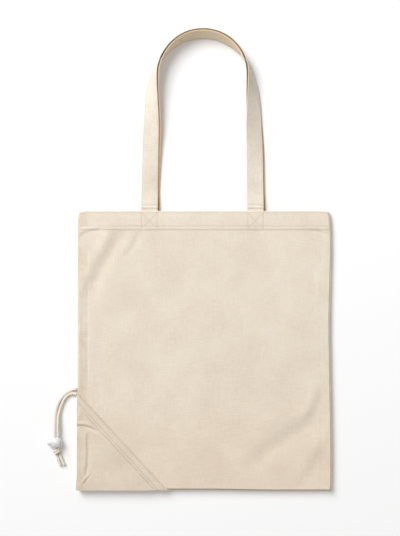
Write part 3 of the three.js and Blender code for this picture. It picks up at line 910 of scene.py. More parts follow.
@dataclass(frozen=True)
class DrawnSteel(Finish):
    """Bright steel wire with drawing lines."""

    colour: Colour = paint(190, 192, 195)
    dull: Colour = paint(150, 152, 156)

    def wire(self, nodes: Nodes, shader: Node) -> None:
        """Feeds the shader streaks along the wire.

        Args:
            nodes: the material's wiring.
            shader: its Principled shader.
        """
        vector = nodes.add("ShaderNodeTexCoord").outputs["Object"]
        streaks = nodes.noise(vector, 3000, 2, (1.0, 0.2, 0.2))
        look = {
            "Base Color": nodes.mix(streaks, self.colour, self.dull),
            "Roughness": nodes.between(streaks, 0.2, 0.8, 0.22, 0.42),
            "Metallic": 1.0,
        }
        nodes.feed(shader, look)


# the bag cloth's seam tint and foot tint are painted shade
BAG_CLOTH = Calico("bag_calico", Slot.BAG, seam_shade_start=0.175, foot=paint(254, 250, 246))
POUCH_CLOTH = Calico(
    "pouch_calico", Slot.BAG, light=paint(234, 222, 204), dark=paint(219, 204, 185), seam_shade_start=0.176
)
LINING_CLOTH = Calico("seam_calico", Slot.BAG, light=paint(236, 224, 206), dark=paint(218, 203, 182))
STRAP_CLOTH = Strapping(
    "strap_calico",
    Slot.STRAP,
    light=paint(243, 236, 223),
    dark=paint(223, 211, 194),
    glow=0.4,
    glow_depth=0.0012,
    grain=Grain.STRIP,
)
# painted shade: the back strap is painted warmer and browner than the front one, for the arch's inner face,
# which lies in shade
BACK_STRAP_SHADED_CLOTH = replace(
    STRAP_CLOTH,
    name="back_strap_shaded_calico",
    light=paint(250, 233, 207),
    dark=paint(238, 214, 182),
    inner_from=0.0,
    inner_to=0.0254,
)
CASING_CLOTH = Calico("casing_calico", Slot.BAG, light=paint(235, 223, 206), dark=paint(221, 206, 188))
CORD_COTTON = Yarn("cord_cotton", Slot.CORD, strands=1300)
# partly the thread's own colour and partly painted shade of the stitch grooves, much darker than the cream
# strap thread
SHADED_BAG_THREAD = Yarn(
    "shaded_sewing_thread",
    Slot.BAG,
    light=paint(202, 180, 151),
    dark=paint(152, 128, 100),
    strands=6,
    relief=0.00004,
)
# painted shade: darker still along the pouch's stitch rows
SHADED_POUCH_THREAD = replace(SHADED_BAG_THREAD, name="shaded_pouch_thread", light=paint(180, 154, 122), dark=paint(130, 106, 80))
STRAP_THREAD = replace(
    SHADED_BAG_THREAD,
    name="strap_thread",
    slot=Slot.STRAP,
    light=paint(236, 225, 208),
    dark=paint(204, 188, 166),
)
LOCK_WHITE = MouldedPlastic("lock_white", Slot.PLASTIC)
SPRING_STEEL = DrawnSteel("spring_wire", Slot.STEEL)


@dataclass(frozen=True)
class Fold:
    """A soft fold in lying cloth: a ridge on the left of its line and a hollow on the right."""

    line: Sequence[tuple[float, float]]
    height: float
    width: float

    def at(self, x: float, y: float) -> float:
        """Returns how much the fold raises the cloth at a place, in millimetres."""
        reach = 3 * self.width
        if not min(p[0] for p in self.line) - reach < x < max(p[0] for p in self.line) + reach:
            return 0.0
        if not min(p[1] for p in self.line) - reach < y < max(p[1] for p in self.line) + reach:
            return 0.0
        total = sum(math.dist(a, b) for a, b in zip(self.line, self.line[1:]))
        best, side, along, walked = 1e9, 0.0, 0.0, 0.0
        for (ax, ay), (bx, by) in zip(self.line, self.line[1:]):
            dx, dy = bx - ax, by - ay
            length = math.hypot(dx, dy)
            share = min(1.0, max(0.0, ((x - ax) * dx + (y - ay) * dy) / length**2))
            px, py = x - ax - share * dx, y - ay - share * dy
            distance = math.hypot(px, py)
            if distance < best:
                best = distance
                side = math.copysign(distance, dx * py - dy * px)
                along = (walked + share * length) / total
            walked += length
        ends = smooth(along / 0.3) * smooth((1 - along) / 0.3)
        ridge = bell(side - 0.75 * self.width, self.width)
        hollow = bell(side + 0.75 * self.width, self.width)
        return self.height * ends * (ridge - hollow)


@dataclass(frozen=True)
class SlantedLine:
    """The pouch's slanted edge, from the bag's left edge down to its bottom edge."""

    rise: float = 0.0
    left: float = -190.0
    bottom: float = -210.0
    side: float = 147.4
    foot: float = 135.7

    @property
    def along(self) -> Vector:
        """The edge's direction."""
        return Vector((self.foot, -self.side)).normalized()

    @property
    def inwards(self) -> Vector:
        """The direction into the pouch, square to the edge."""
        return Vector((self.along.y, -self.along.x))

    @property
    def start(self) -> Vector:
        """The edge's upper end."""
        return Vector((self.left, self.bottom + self.side + self.rise))

    @property
    def length(self) -> float:
        """The edge's length, to the bag's bottom edge."""
        return (self.side + self.rise) / -self.along.y

    def depth(self, x: float, y: float) -> float:
        """Returns how far a place lies inside the pouch."""
        return (Vector((x, y)) - self.start).dot(self.inwards)

    def run(self, x: float, y: float) -> float:
        """Returns how far along the edge a place lies."""
        return (Vector((x, y)) - self.start).dot(self.along)

    def point(self, run: float, depth: float) -> Vector:
        """Returns the place at a run along the edge and a depth from it."""
        return self.start + self.along * run + self.inwards * depth


FRONT_LINE = SlantedLine()
BACK_LINE = SlantedLine(rise=12.0)


@dataclass(frozen=True)
class BagForm:
    """The heights of the lying bag's cloths."""

    half_width: float = 190.0
    half_height: float = 210.0
    cloth: float = 0.8
    gap: float = 0.3
    edge_top: float = 9.2
    full_top: float = 9.9
    foot_rise: float = 2.7
    rim: float = 44.0
    low: float = 1.9
    wall: Sequence[tuple[float, float]] = ((0.5, 1.0), (0.1, 0.78), (0.0, 0.42), (0.15, 0.11))
    ledge: Sequence[tuple[float, float]] = ((0.4, 1.0), (0.0, 0.6), (0.2, 0.24), (1.9, 0.16))
    left_inset: float = -0.1
    right_inset: float = -0.2
    foot_inset: float = 2.1
    hem_line: float = 182.0
    hem_upper_line: float = 187.6
    top_line: float = 207.6
    mouth: float = 209.4
    box_foot: float = 184.6
    box_width: float = 23.4
    box_height: float = 22.6
    front_boxes: Sequence[float] = (-93.7, 66.3)
    back_boxes: Sequence[float] = (-90.7, 69.3)
    seam_ridge: float = 175.4
    folds: Sequence[Fold] = (
        Fold(
            ((-176, 66), (-171.6, 104), (-164, 124.4), (-152, 142.5), (-141.4, 162.1), (-122, 198)), 1.8, 10.5
        ),
        Fold(((-124, 138), (-118, 147), (-109, 161), (-97, 186)), 0.6, 6),
        Fold(
            ((46, -186), (63.6, -165.1), (90.8, -142.5), (119.4, -125.9), (152.6, -103.3), (196, -84)),
            1.7,
            13.5,
        ),
        Fold(((44, -150), (80, -128), (120, -104), (150, -84)), 0.7, 12),
        Fold(((148, -108), (160, -92), (168, -74), (173, -50)), 0.8, 7),
        Fold(((132, -206), (145, -190), (169.2, -153.1), (196, -122)), 0.9, 11),
        Fold(((-192, 168), (-187, 174.5), (-180.7, 179), (-166, 182.5), (-152, 184)), 0.6, 3.2),
        Fold(((150, 184), (168, 182), (181, 178), (192, 171)), 0.55, 2.8),
        Fold(((-140, -122), (-153.5, -120.5), (-168, -117), (-189, -113.5)), 0.4, 4.5),
        Fold(((186, 40), (150, 62), (96, 74), (40, 70)), 0.3, 17),
        Fold(((-120, 20), (-60, 6), (10, 12), (70, -6)), 0.25, 20),
        Fold(((-160, -40), (-110, -22), (-60, -30)), 0.25, 14),
        Fold(((178, 150), (168, 110), (172, 60)), 0.35, 7),
    )

    def front_top(self, x: float, y: float, plain: bool = False) -> float:
        """Gives the front panel's upper side.

        Args:
            x: the place across.
            y: the place up the bag.
            plain: whether stitch lines are left out.

        Returns:
            The height in millimetres.
        """
        beside, above = self.half_width - abs(x), y + self.half_height
        rounded = eased(beside / self.rim) * eased(above / self.rim)
        height = self.edge_top + (self.full_top - self.edge_top) * rounded
        height += self.foot_rise * smooth((120 - y) / 330)
        waves = 0.42 * waver(x / 62, y / 62, 3.7)
        waves += 0.11 * waver(x / 17, y / 17, 9.1)
        waves += 0.035 * waver(x / 6.5, y / 6.5, 5.3)
        near_edge = smooth(beside / 7) * smooth(above / 7)
        height += near_edge * (sum(fold.at(x, y) for fold in self.folds) + waves)
        if not plain:
            height += smooth(beside / 2) * smooth(above / 2) * self.sewn(x, y)
        return height

    def sewn(self, x: float, y: float) -> float:
        """Returns how stitch lines, the hem and the seam allowances behind it shape the front."""
        change = 0.6 * smooth((y - self.hem_line + 1.5) / 1.6) - 1.0 * smooth((y - 196) / 22)
        change -= 0.38 * bell(y - self.hem_line, 1.0) + 0.2 * bell(y - self.hem_upper_line, 0.8)
        change -= 0.2 * bell(y - self.top_line, 0.8)
        ripple = math.sin(x * 0.97 + 2.2 * waver(x / 15, 4.0, 0.5))
        change += 0.1 * ripple * bell(y - self.hem_line, 4)
        if y < self.hem_line - 2:
            uneven = max(0.15, 0.7 + 0.9 * waver(2.5, y / 24, 0.0))
            line = abs(x) - self.seam_ridge - 1.0 * waver(7.5, y / 30, 0.0)
            strength = uneven * (0.25 + 0.75 * smooth((135 - y) / 45)) if x < 0 else 0.3 * uneven
            rise = 1.9 if x < 0 else 0.9
            change += strength * (rise * smooth((line + 1) / 14) - 0.5 * bell(line, 2.0))
        if abs(x) > 160:
            pull = waver(x / 26, (y + 0.25 * x) / 10, 31.0)
            change += (0.95 if x < 0 else 0.3) * pull * bell(abs(x) - 184, 11)
        for left in self.front_boxes:
            across, up = x - left, y - self.box_foot
            if -3 < across < self.box_width + 2.6 and -3 < up < self.box_height + 3.4:
                near = min(abs(across), abs(across - self.box_width))
                level = up * self.box_width / self.box_height
                slants = min(abs(across - level), abs(across - self.box_width + level)) * 0.7
                change += 0.16 * smooth(across / 3) * smooth((self.box_width - across) / 3)
                change -= 0.13 * bell(min(near, slants), 0.8)
        return change

    def back_lift(self, x: float, y: float) -> float:
        """Returns how far the corner pouch's back half and its drawcord lift the back panel."""
        pairs = ((-6, 0), (-0.3, 1.1), (2.6, 2.92), (4, 4), (7, 4), (8.4, 2.92), (10.2, 1.1))
        return profile_at(pairs, BACK_LINE.depth(x, y))

    def pouch_top(self, x: float, y: float) -> float:
        """Returns the height of the middle of the front pouch's cloth."""
        inner_x = x + 1.1 * smooth((-165 - x) / 26.1)
        inner_y = y + 1.1 * smooth((-185 - y) / 26.1)
        inner_x, inner_y = max(inner_x, -self.half_width), max(inner_y, -self.half_height)
        return self.front_top(inner_x, inner_y, plain=True) + self.gap + self.cloth / 2


FORM = BagForm()


def add_mesh(bm: BMesh, more: BMesh) -> None:
    """Adds one mesh to another.

    Args:
        bm: the mesh that grows.
        more: the mesh that is added, and used up.
    """
    mesh = bpy.data.meshes.new("part_blank")
    more.to_mesh(mesh)
    more.free()
    bm.from_mesh(mesh)
    bpy.data.meshes.remove(mesh)


def add_stitches(
    bm: BMesh,
    line: Sequence[Vector],
    outwards: Callable[[Vector], Vector],
    length: float = 2.5,
    gap: float = 0.5,
    width: float = 0.62,
) -> int:
    """Lays a row of thread stitches along a line.

    Args:
        bm: the mesh that takes them, in millimetres.
        line: points along the row, on the cloth.
        outwards: gives the cloth's direction outwards at a point.
        length: one stitch's length.
        gap: the space to the next.
        width: the thread's width.

    Returns:
        How many stitches were laid.
    """
    places = lie_on_curve([tuple(p) for p in line], length + gap)
    pairs = list(zip(places, places[1:]))
    for start in range(0, len(pairs), 16):
        few = bmesh.new()
        few.loops.layers.uv.new("UVMap")
        for a, b in pairs[start : start + 16]:
            forward = (b - a).normalized()
            up = outwards((a + b) / 2).normalized()
            side = up.cross(forward).normalized()
            up = forward.cross(side)
            turn = Matrix((forward, side, up)).transposed().to_4x4()
            size = Matrix.Diagonal(((b - a).length / 2 - gap / 2, width / 2, width * 0.42, 1))
            spot = Matrix.Translation((a + b) / 2) @ turn @ size
            bmesh.ops.create_uvsphere(few, u_segments=6, v_segments=4, radius=1, matrix=spot, calc_uvs=True)
        add_mesh(bm, few)
    return len(pairs)


def upwards(_: Vector) -> Vector:
    """Returns straight up, for stitches on top of a lying cloth."""
    return Vector((0, 0, 1))


def downwards(_: Vector) -> Vector:
    """Returns straight down, for stitches seen from below."""
    return Vector((0, 0, -1))


def on_front(x: float, y: float) -> Vector:
    """Returns a point on the front panel's upper side."""
    return Vector((x, y, FORM.front_top(x, y) + 0.02))


def turned_over(reach: float, gap: float) -> list[tuple[float, float]]:
    """Returns the rows round a hem's fold at the mouth.

    Args:
        reach: how far the fold stands out past its line.
        gap: between the cloth and its turned side.

    Returns:
        Each row's place up the bag, and how far it lies off the flat cloth.
    """
    angles = [math.pi * k / 6 for k in range(1, 6)]
    return [(FORM.mouth + reach * math.sin(angle), gap / 2 * (1 - math.cos(angle))) for angle in angles]


def crossed_box(left: float) -> list[tuple[Point, Point]]:
    """Returns the four rows of the box sewn over a strap's end: two sides and the cross.

    Args:
        left: where its left side is.

    Returns:
        Each row's start and end, with a height of 0.
    """
    right, low, high = left + FORM.box_width, FORM.box_foot, FORM.box_foot + FORM.box_height
    sides = [((left, low, 0.0), (left, high, 0.0)), ((right, low, 0.0), (right, high, 0.0))]
    return [*sides, ((left, low, 0.0), (right, high, 0.0)), ((left, high, 0.0), (right, low, 0.0))]


def rides_front(piece: Object) -> None:
    """Bakes the place of one half of the front, or of a piece on it, into its mesh.

    Args:
        piece: a piece wholly on one side of the bag's middle.
    """
    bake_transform(piece)


def parted(bm: BMesh) -> tuple[BMesh, BMesh]:
    """Parts a closed mesh at the bag's middle.

    Args:
        bm: the mesh, which is used up.

    Returns:
        Its left and right sides, each closed.
    """
    other = bm.copy()
    left = trimmed(bm, (0, 0, 0), (1, 0, 0), close=True)
    right = trimmed(other, (0, 0, 0), (-1, 0, 0), close=True)
    return left, right


@dataclass
class FrontPanel:
    """The bag's front: one cloth with its mouth turned in as a hem, sewn with a row of stitches."""

    step: float = 2.0
    hem_depth: float = 27.0
    turned_gap: float = 1.1
    right_row_end: float = 187.0

    def columns(self) -> list[float]:
        """Returns the places across at which the cloth is shaped."""
        rim = [0.6, 1.2, 2.0, 3.0, 4.2, 5.6, 7.2, 9.0]
        right = FORM.half_width - FORM.right_inset - FORM.ledge[-1][0]
        sides = [side for left in FORM.front_boxes for side in (left, left + FORM.box_width)]
        boxes = [spread(side - 2, side + 2, 0.7) for side in sides]
        return joined(
            [-FORM.half_width + inset for inset in rim],
            [right - inset for inset in rim],
            spread(-181, -170, 0.9),
            spread(170, 181, 0.9),
            spread(-169, 169, self.step),
            *boxes,
        )

    def rows(self) -> list[tuple[float, float]]:
        """Returns the rows up the cloth and over its hem, each with how far it lies under the front."""
        rim = [0.6, 1.2, 2.0, 3.0, 4.2, 5.6, 7.2, 9.0, 11.0, 13.0, 15.5, 18.0]
        foot = FORM.foot_inset - FORM.half_height
        flat = joined(
            [foot + inset for inset in rim],
            spread(-190, 178, self.step),
            spread(178, 190, 0.55),
            spread(190, FORM.mouth, 1.2),
        )
        turned = spread(FORM.mouth - 0.2, FORM.half_height - self.hem_depth, 1.8)
        fold = turned_over(self.turned_gap * 0.55, self.turned_gap)
        return [*((y, 0.0) for y in flat), *fold, *((y, self.turned_gap) for y in turned)]

    def cloth(self) -> BMesh:
        """Returns the panel's closed cloth, in millimetres."""
        columns, rows = self.columns(), self.rows()
        count = len(FORM.wall)
        wide, high = len(columns) + 2 * count, len(rows) + count

        def place(i: int, j: int) -> Point:
            """Returns a point of the cloth's middle, which turns down to the seams at its edges."""
            x, share = columns[min(max(i - count, 0), len(columns) - 1)], 0.0
            y, under = rows[max(j - count, 0)]
            if min(i, wide - 1 - i) < count:
                right = i >= wide - count
                inset, share = (FORM.ledge if right else FORM.wall)[min(i, wide - 1 - i)]
                x = FORM.half_width - inset - (FORM.right_inset if right else FORM.left_inset)
                x *= 1 if right else -1
            if j < count:
                inset, fall = FORM.wall[j]
                y, share = inset - FORM.half_height + FORM.foot_inset, max(share, fall)
            z = FORM.front_top(x, min(y, FORM.half_height - 0.1)) - FORM.cloth / 2 - under
            return (x, y, z + (FORM.low - z) * share)

        bm = sheet_mesh(wide, high, place)
        return thickened(bm, FORM.cloth)

    def stitching(self, left: bool) -> BMesh:
        """Sews one side's hem row, top row and the crossed box over its strap end.

        Args:
            left: whether it is the left side.

        Returns:
            The stitches, in millimetres.
        """
        bm = bmesh.new()
        hand = -1 if left else 1
        for y, outer in ((FORM.hem_line, 188.6), (FORM.hem_upper_line, 188.6), (FORM.top_line, 188.0)):
            xs = spread(0.4 * hand, (outer if left else self.right_row_end) * hand, 4)
            add_stitches(bm, [on_front(x, y) for x in xs], upwards)
        for start, end in crossed_box(FORM.front_boxes[0 if left else 1]):
            places = [Vector(start).lerp(Vector(end), k / 8) for k in range(9)]
            add_stitches(bm, [on_front(p.x, p.y) for p in places], upwards)
        return bm

    def build(self) -> None:
        """Makes both halves of the panel and their stitches."""
        for bm, side in zip(parted(self.cloth()), ("left", "right")):
            piece = make_piece(f"front_cloth_{side}", bm, BAG_CLOTH)
            rides_front(piece)
            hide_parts("front_panel")
            thread = make_piece(f"front_stitching_{side}", self.stitching(side == "left"), SHADED_BAG_THREAD, ROUND)
            rides_front(thread)


@dataclass
class BackPanel:
    """The bag's back: the same cloth, flat on what the bag lies on, lifted over the pouch's back half."""

    step: float = 2.5
    left_reach: float = 190.3
    right_reach: float = 190.6
    bottom_reach: float = 211.2
    turned_gap: float = 1.1
    turned_depth: float = 26.2
    thread_depth: float = 0.42

    def height(self, x: float, y: float) -> float:
        """Returns the height of the middle of the cloth."""
        calm = 0.12 * (1 + waver(x / 40, y / 40, 21.0))
        return FORM.cloth / 2 + FORM.back_lift(x, y) + calm * smooth((190 - abs(x)) / 10)

    def cloth(self) -> BMesh:
        """Returns the closed cloth, in millimetres."""
        columns = joined(
            spread(-self.left_reach, -186, 1.0),
            spread(-186, 186, self.step),
            spread(186, self.right_reach, 1.0),
        )
        flat = joined(spread(-self.bottom_reach, -206, 1.0), spread(-206, 206, self.step), [FORM.mouth])
        turned = spread(FORM.mouth - 0.2, FORM.mouth - 0.2 - self.turned_depth, 2.2)
        fold = turned_over(0.6, self.turned_gap)
        rows = [*((y, 0.0) for y in flat), *fold, *((y, self.turned_gap) for y in turned)]

        def place(i: int, j: int) -> Point:
            """Returns a point of the cloth's middle, curled up at the sewn edges."""
            tuck = i in (0, len(columns) + 1)
            x = columns[min(max(i - 1, 0), len(columns) - 1)]
            y, over = rows[max(j - 1, 0)]
            z = self.height(x, y) + over
            if tuck:
                x -= math.copysign(0.7, x)
            if j == 0:
                y += 0.7
            if (tuck or j == 0) and not over:
                z = max(z, 0.95)
            return (x, y, z)

        bm = sheet_mesh(len(columns) + 2, len(rows) + 1, place)
        return thickened(bm, FORM.cloth)

    def stitching(self) -> BMesh:
        """Returns the hem's row and the strap ends' crossed boxes, seen from the back."""
        bm = bmesh.new()
        rows = [[(x, y) for x in spread(-188, 188, 6)] for y in (FORM.hem_line, FORM.top_line)]
        for left in FORM.back_boxes:
            for start, end in crossed_box(left):
                places = [Vector(start).lerp(Vector(end), k / 6) for k in range(7)]
                rows.append([(p.x, p.y) for p in places])
        for row in rows:
            line = [Vector((x, y, self.height(x, y) - self.thread_depth)) for x, y in row]
            add_stitches(bm, line, downwards)
        return bm

    def build(self) -> None:
        """Makes the cloth and its stitches."""
        piece = make_piece("back_cloth", self.cloth(), BAG_CLOTH)
        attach(piece, Body.BACK.value)
        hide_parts("back_panel")
        thread = make_piece("back_stitching", self.stitching(), SHADED_BAG_THREAD, ROUND)
        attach(thread, Body.BACK.value)


@dataclass
class SeamAllowances:
    """The cut edges inside the sides and foot, bound by a zigzag of thread."""

    width: float = 12.0
    low: float = 1.15

    def outlines(self) -> dict[str, tuple[Vector, Vector, Vector]]:
        """Returns each strip's two ends on its sewn side, and the direction to its cut side."""
        return {
            "left_seam_allowance": (Vector((-189, -43.5)), Vector((-189, 182.4)), Vector((1, 0))),
            "right_seam_allowance": (Vector((189, -208)), Vector((189, 182.4)), Vector((-1, 0))),
            "bottom_seam_allowance": (Vector((-30.5, -209)), Vector((176.2, -209)), Vector((0, 1))),
        }

    def strip(self, start: Vector, end: Vector, inwards: Vector) -> BMesh:
        """Returns one strip of two pressed cloth edges, in millimetres."""
        columns = max(3, round((end - start).length / 2))

        def place(i: int, j: int) -> Point:
            """Returns a point of the strip's middle, with a slightly frayed cut side."""
            p = start.lerp(end, i / columns)
            rough = 0.3 * waver(p.x / 2, p.y / 2, 1.0) if j == 6 else 0.0
            p = p + inwards * (self.width * j / 6 + rough)
            wave = 0.12 * waver(p.x / 9, p.y / 9, 2.0)
            return (p.x, p.y, self.low + 0.36 + wave)

        return thickened(sheet_mesh(columns + 1, 7, place), 0.7)

    def binding(self, start: Vector, end: Vector, inwards: Vector) -> BMesh:
        """Returns the zigzag that binds a strip's cut side, in millimetres."""
        bm = bmesh.new()
        count = round((end - start).length / 2.4)
        corners = []
        for k in range(count + 1):
            p = start.lerp(end, k / count) + inwards * (self.width - (0.3 if k % 2 else 3.0))
            corners.append(Vector((p.x, p.y, self.low + 0.75)))
        for a, b in zip(corners, corners[1:]):
            add_stitches(bm, [a, b], upwards, length=6, gap=0.1, width=0.4)
        return bm

    def build(self) -> None:
        """Makes the three strips and their bindings."""
        for name, (start, end, inwards) in self.outlines().items():
            strip = self.strip(start, end, inwards)
            piece = make_piece(name.replace("allowance", "edge"), strip, LINING_CLOTH)
            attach(piece, Body.BACK.value)
            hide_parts(name)
            binding = self.binding(start, end, inwards)
            thread = make_piece(name.replace("allowance", "binding"), binding, SHADED_BAG_THREAD, ROUND)
            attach(thread, Body.BACK.value)


@dataclass
class CornerPouch:
    """The pouch over the bag's lower left corner: its two halves, each with a casing for the drawcord."""

    reach: float = 190.7
    foot: float = 209.8
    casing: float = 15.0
    hump: float = 1.7
    hump_width: float = 3.3
    run_depth: float = 7.5
    run_depth_at_exit: float = 3.3
    run_depth_back: float = 5.5
    run_width: float = 4.0
    run_height: float = 1.4
    front_rows: Sequence[float] = (1.6, 10.2, 14.3)
    back_rows: Sequence[float] = (1.7, 12.6, 15.0)
    start_per_depth: float = 0.92
    end_per_depth: float = 1.086

    def run_line(self, run: float) -> float:
        """Returns how deep the front run lies under its slanted edge."""
        return self.run_depth_at_exit + (self.run_depth - self.run_depth_at_exit) * smooth(run / 30)

    def wrapped(self, x: float, y: float, extra: float = 0.0) -> Point:
        """Lays a point of the front half on the bag and folds it down past the bag's edges.

        Args:
            x: the place across, as if the cloth were flat.
            y: the place up.
            extra: how far the cloth stands off there.

        Returns:
            The point, in millimetres.
        """
        over_x, over_y = max(0.0, -self.reach - x), max(0.0, -self.foot - y)
        x, y = max(x, -self.reach), max(y, -self.foot)
        drop = over_x + over_y
        z = FORM.pouch_top(x, y) + extra - drop
        tucked = 0.7 * smooth(drop / 3)
        return (x + (tucked if over_x else 0.0), y + (tucked if over_y else 0.0), max(z, 1.5))

    def front_cloth(self) -> BMesh:
        """Returns the pouch's front below its casing, in millimetres."""
        edge, over = [0, 0.25, 0.6, 1.1, 1.8], [4.2, 3.1, 2.1, 1.2, 0.4]
        xs = joined([-self.reach + e for e in edge], spread(-188.6, -168, 0.8), spread(-166.6, -50, 1.5))
        ys = joined([-self.foot + e for e in edge], spread(-208.6, -180, 0.9), spread(-178, -60, 1.4))
        xs = [-self.reach - e for e in over] + xs
        ys = [-self.foot - e for e in over] + ys

        def place(i: int, j: int) -> Point:
            """Returns the point before the cloth is folded down, so that it can be trimmed."""
            return (xs[i], ys[j], 0.0)

        bm = sheet_mesh(len(xs), len(ys), place)
        edge_point = FRONT_LINE.point(0, self.casing)
        inwards = FRONT_LINE.inwards
        bm = trimmed(bm, (*edge_point, 0), (-inwards.x, -inwards.y, 0))
        for vert in bm.verts:
            x, y = vert.co.x, vert.co.y
            depth = FRONT_LINE.depth(x, y) - self.casing
            run = FRONT_LINE.run(x, y)
            pucker = 0.14 * math.sin(run * 1.05 + 1.5 * waver(run / 13, 2.0, 8.0))
            extra = pucker * bell(depth, 6) - 0.3 * bell(depth, 1.0)
            vert.co = self.wrapped(x, y, extra + self.creases(x, y) * smooth(0.1 + depth / 6))
        return thickened(bm, FORM.cloth)

    def creases(self, x: float, y: float) -> float:
        """Returns the pouch's own shape: its raised foot, pulled seam, folded corner and one deep crease."""
        edge = -174.6 - 2.6 * smooth((-165 - y) / 22)
        change = 1.5 * smooth((-176 - y) / 24) * smooth((-66 - x) / 20)
        lip = smooth((y + 198) / 20) * smooth((-118 - y) / 14)
        change += lip * (1.2 * smooth((edge - x) / 3.4) - 0.6 * bell(edge - x + 1.4, 3.6))
        change += 0.6 * waver(x / 30, y / 9, 17.0) * bell(x + 186, 9)
        slant = (x + 177.4) * 0.817 - (y + 195.2) * 0.577
        along = (x + 177.4) * 0.577 + (y + 195.2) * 0.817
        change += (0.95 * bell(slant + 1.8, 2.0) - 0.8 * bell(slant - 1.2, 1.8)) * bell(along - 1, 8)
        fold = (y + 113.4) + 8.5 * smooth((x + 184) / 36) + 1.6 * smooth((x + 163) / 12)
        change += (2.4 * bell(fold - 3.0, 3.5) - 2.5 * bell(fold + 1.5, 3.6)) * smooth((-146 - x) / 18)
        return change

    def casing_rise(self, run: float, depth: float) -> float:
        """Returns how far the casing stands off the bag over its drawcord."""
        rise = self.hump * bell(depth - self.run_line(run), self.hump_width)
        rise += 0.18 * waver(run / 9, depth / 7, 6.0)
        upper, middle, lower = self.front_rows
        rise -= 0.2 * bell(depth - 0.3, 0.8) + 0.2 * bell(depth - upper, 0.7)
        rise -= 0.25 * bell(depth - middle, 0.55) + 0.65 * bell(depth - lower, 0.55)
        rise += 0.2 * bell(depth - 12.2, 1.2)
        ripple = math.sin(run * 1.15 + 2 * waver(run / 12, 7.0, 3.0))
        return rise + 0.13 * ripple * (bell(depth - 13.5, 4) + bell(depth - 1, 3))

    def front_casing(self) -> BMesh:
        """Returns the casing over the front run, folded over along its slanted edge, in millimetres."""
        runs = spread(-2.2, FRONT_LINE.length + 4.4, 1.3)
        across = joined(
            [0.12, 0.5],
            spread(1.0, 2.4, 0.35),
            spread(2.8, 10.4, 0.8),
            spread(10.6, self.casing + 0.05, 0.35),
        )

        def place(i: int, j: int) -> Point:
            """Returns a point of the casing's middle, turned under at the slanted edge."""
            depth = across[max(j - 2, 0)]
            flat = FRONT_LINE.point(runs[i], depth)
            x, y, z = self.wrapped(flat.x, flat.y, self.casing_rise(runs[i], depth))
            if j < 2:
                z -= 0.5 if j == 1 else 0.9
                x += FRONT_LINE.inwards.x * (-0.1 if j == 1 else 0.5)
                y += FRONT_LINE.inwards.y * (-0.1 if j == 1 else 0.5)
            if x < -190.2 and depth < 9:
                z = max(z, 3.6)
            return (x, y, z)

        return thickened(sheet_mesh(len(runs), len(across) + 2, place), FORM.cloth * 0.9)

    def front_stitching(self) -> BMesh:
        """Returns the stitch rows of the front casing, in millimetres."""
        bm = bmesh.new()
        for depth in self.front_rows:
            start = (depth * self.start_per_depth if depth > 2 else 2.0) - 1.0
            end = FRONT_LINE.length - depth * self.end_per_depth + 0.5
            line = []
            for run in spread(start, end, 3.0):
                flat = FRONT_LINE.point(run, depth)
                rise = self.casing_rise(run, depth) + FORM.cloth / 2 + 0.05
                line.append(Vector(self.wrapped(flat.x, flat.y, rise)))
            add_stitches(bm, line, upwards, length=2.6)
        return bm

    def back_plate(self, low_depth: float, high_depth: Optional[float]) -> BMesh:
        """Returns part of the back half, flat under the bag.

        Args:
            low_depth: where it starts, from its slanted edge.
            high_depth: where it ends, or None for the corner.

        Returns:
            The closed cloth, in millimetres.
        """
        xs = joined([-self.reach, -self.reach + 0.5, -190], spread(-189, -30, 1.8))
        ys = joined([-self.foot, -self.foot + 0.5, -210], spread(-209, -40, 1.8))
        bm = sheet_mesh(len(xs), len(ys), lambda i, j: (xs[i], ys[j], 0.0))
        inwards = BACK_LINE.inwards
        start = BACK_LINE.point(0, low_depth)
        bm = trimmed(bm, (*start, 0), (-inwards.x, -inwards.y, 0))
        if high_depth is not None:
            bm = trimmed(bm, (*BACK_LINE.point(0, high_depth), 0), (inwards.x, inwards.y, 0))
        for vert in bm.verts:
            x, y = vert.co.x, vert.co.y
            depth = BACK_LINE.depth(x, y)
            z = FORM.cloth / 2 + 0.1 * (1 + waver(x / 11, y / 11, 12.0))
            z += 0.12 * (bell(depth - self.back_rows[0], 0.8) + bell(depth - self.back_rows[1], 0.8))
            if x < -190.5 or y < -210.5:
                z += 0.35
            vert.co.z = z
        return thickened(bm, FORM.cloth * 0.85)

    def back_stitching(self) -> BMesh:
        """Returns the stitch rows under the back half's casing, in millimetres."""
        bm = bmesh.new()
        for depth in self.back_rows:
            end = BACK_LINE.length - depth * self.end_per_depth - 1
            runs = spread(depth * self.start_per_depth + 1, end, 8)
            line = [Vector((*BACK_LINE.point(run, depth), 0.1)) for run in runs]
            add_stitches(bm, line, downwards, length=2.6)
        return bm

    def pressed_run(self, line: SlantedLine, front: bool) -> BMesh:
        """Returns the stretch of drawcord inside one casing, pressed flat.

        Args:
            line: that half's slanted edge.
            front: whether it is the front one.

        Returns:
            The cord, in millimetres.
        """
        rings = []
        last = line.length * 0.968 if front else line.length - self.run_depth_back
        for run in spread(3.0 if front else 5.2, last, 0.9):
            depth = self.run_line(run) if front else self.run_depth_back
            middle = line.point(run, depth)
            base = FORM.front_top(middle.x, middle.y, plain=True) if front else FORM.cloth
            height = base + FORM.gap + self.run_height / 2 + 0.1
            ring = []
            for k in range(18):
                angle = 2 * math.pi * k / 18
                lobe = 1 + 0.07 * math.cos(3 * (angle - run * 0.55))
                side = math.cos(angle) * self.run_width / 2 * lobe
                up = math.sin(angle) * self.run_height / 2 * lobe
                spot = middle + line.inwards * side
                ring.append(Vector((spot.x, spot.y, height + up)))
            rings.append(ring)
        return tube_mesh(rings)

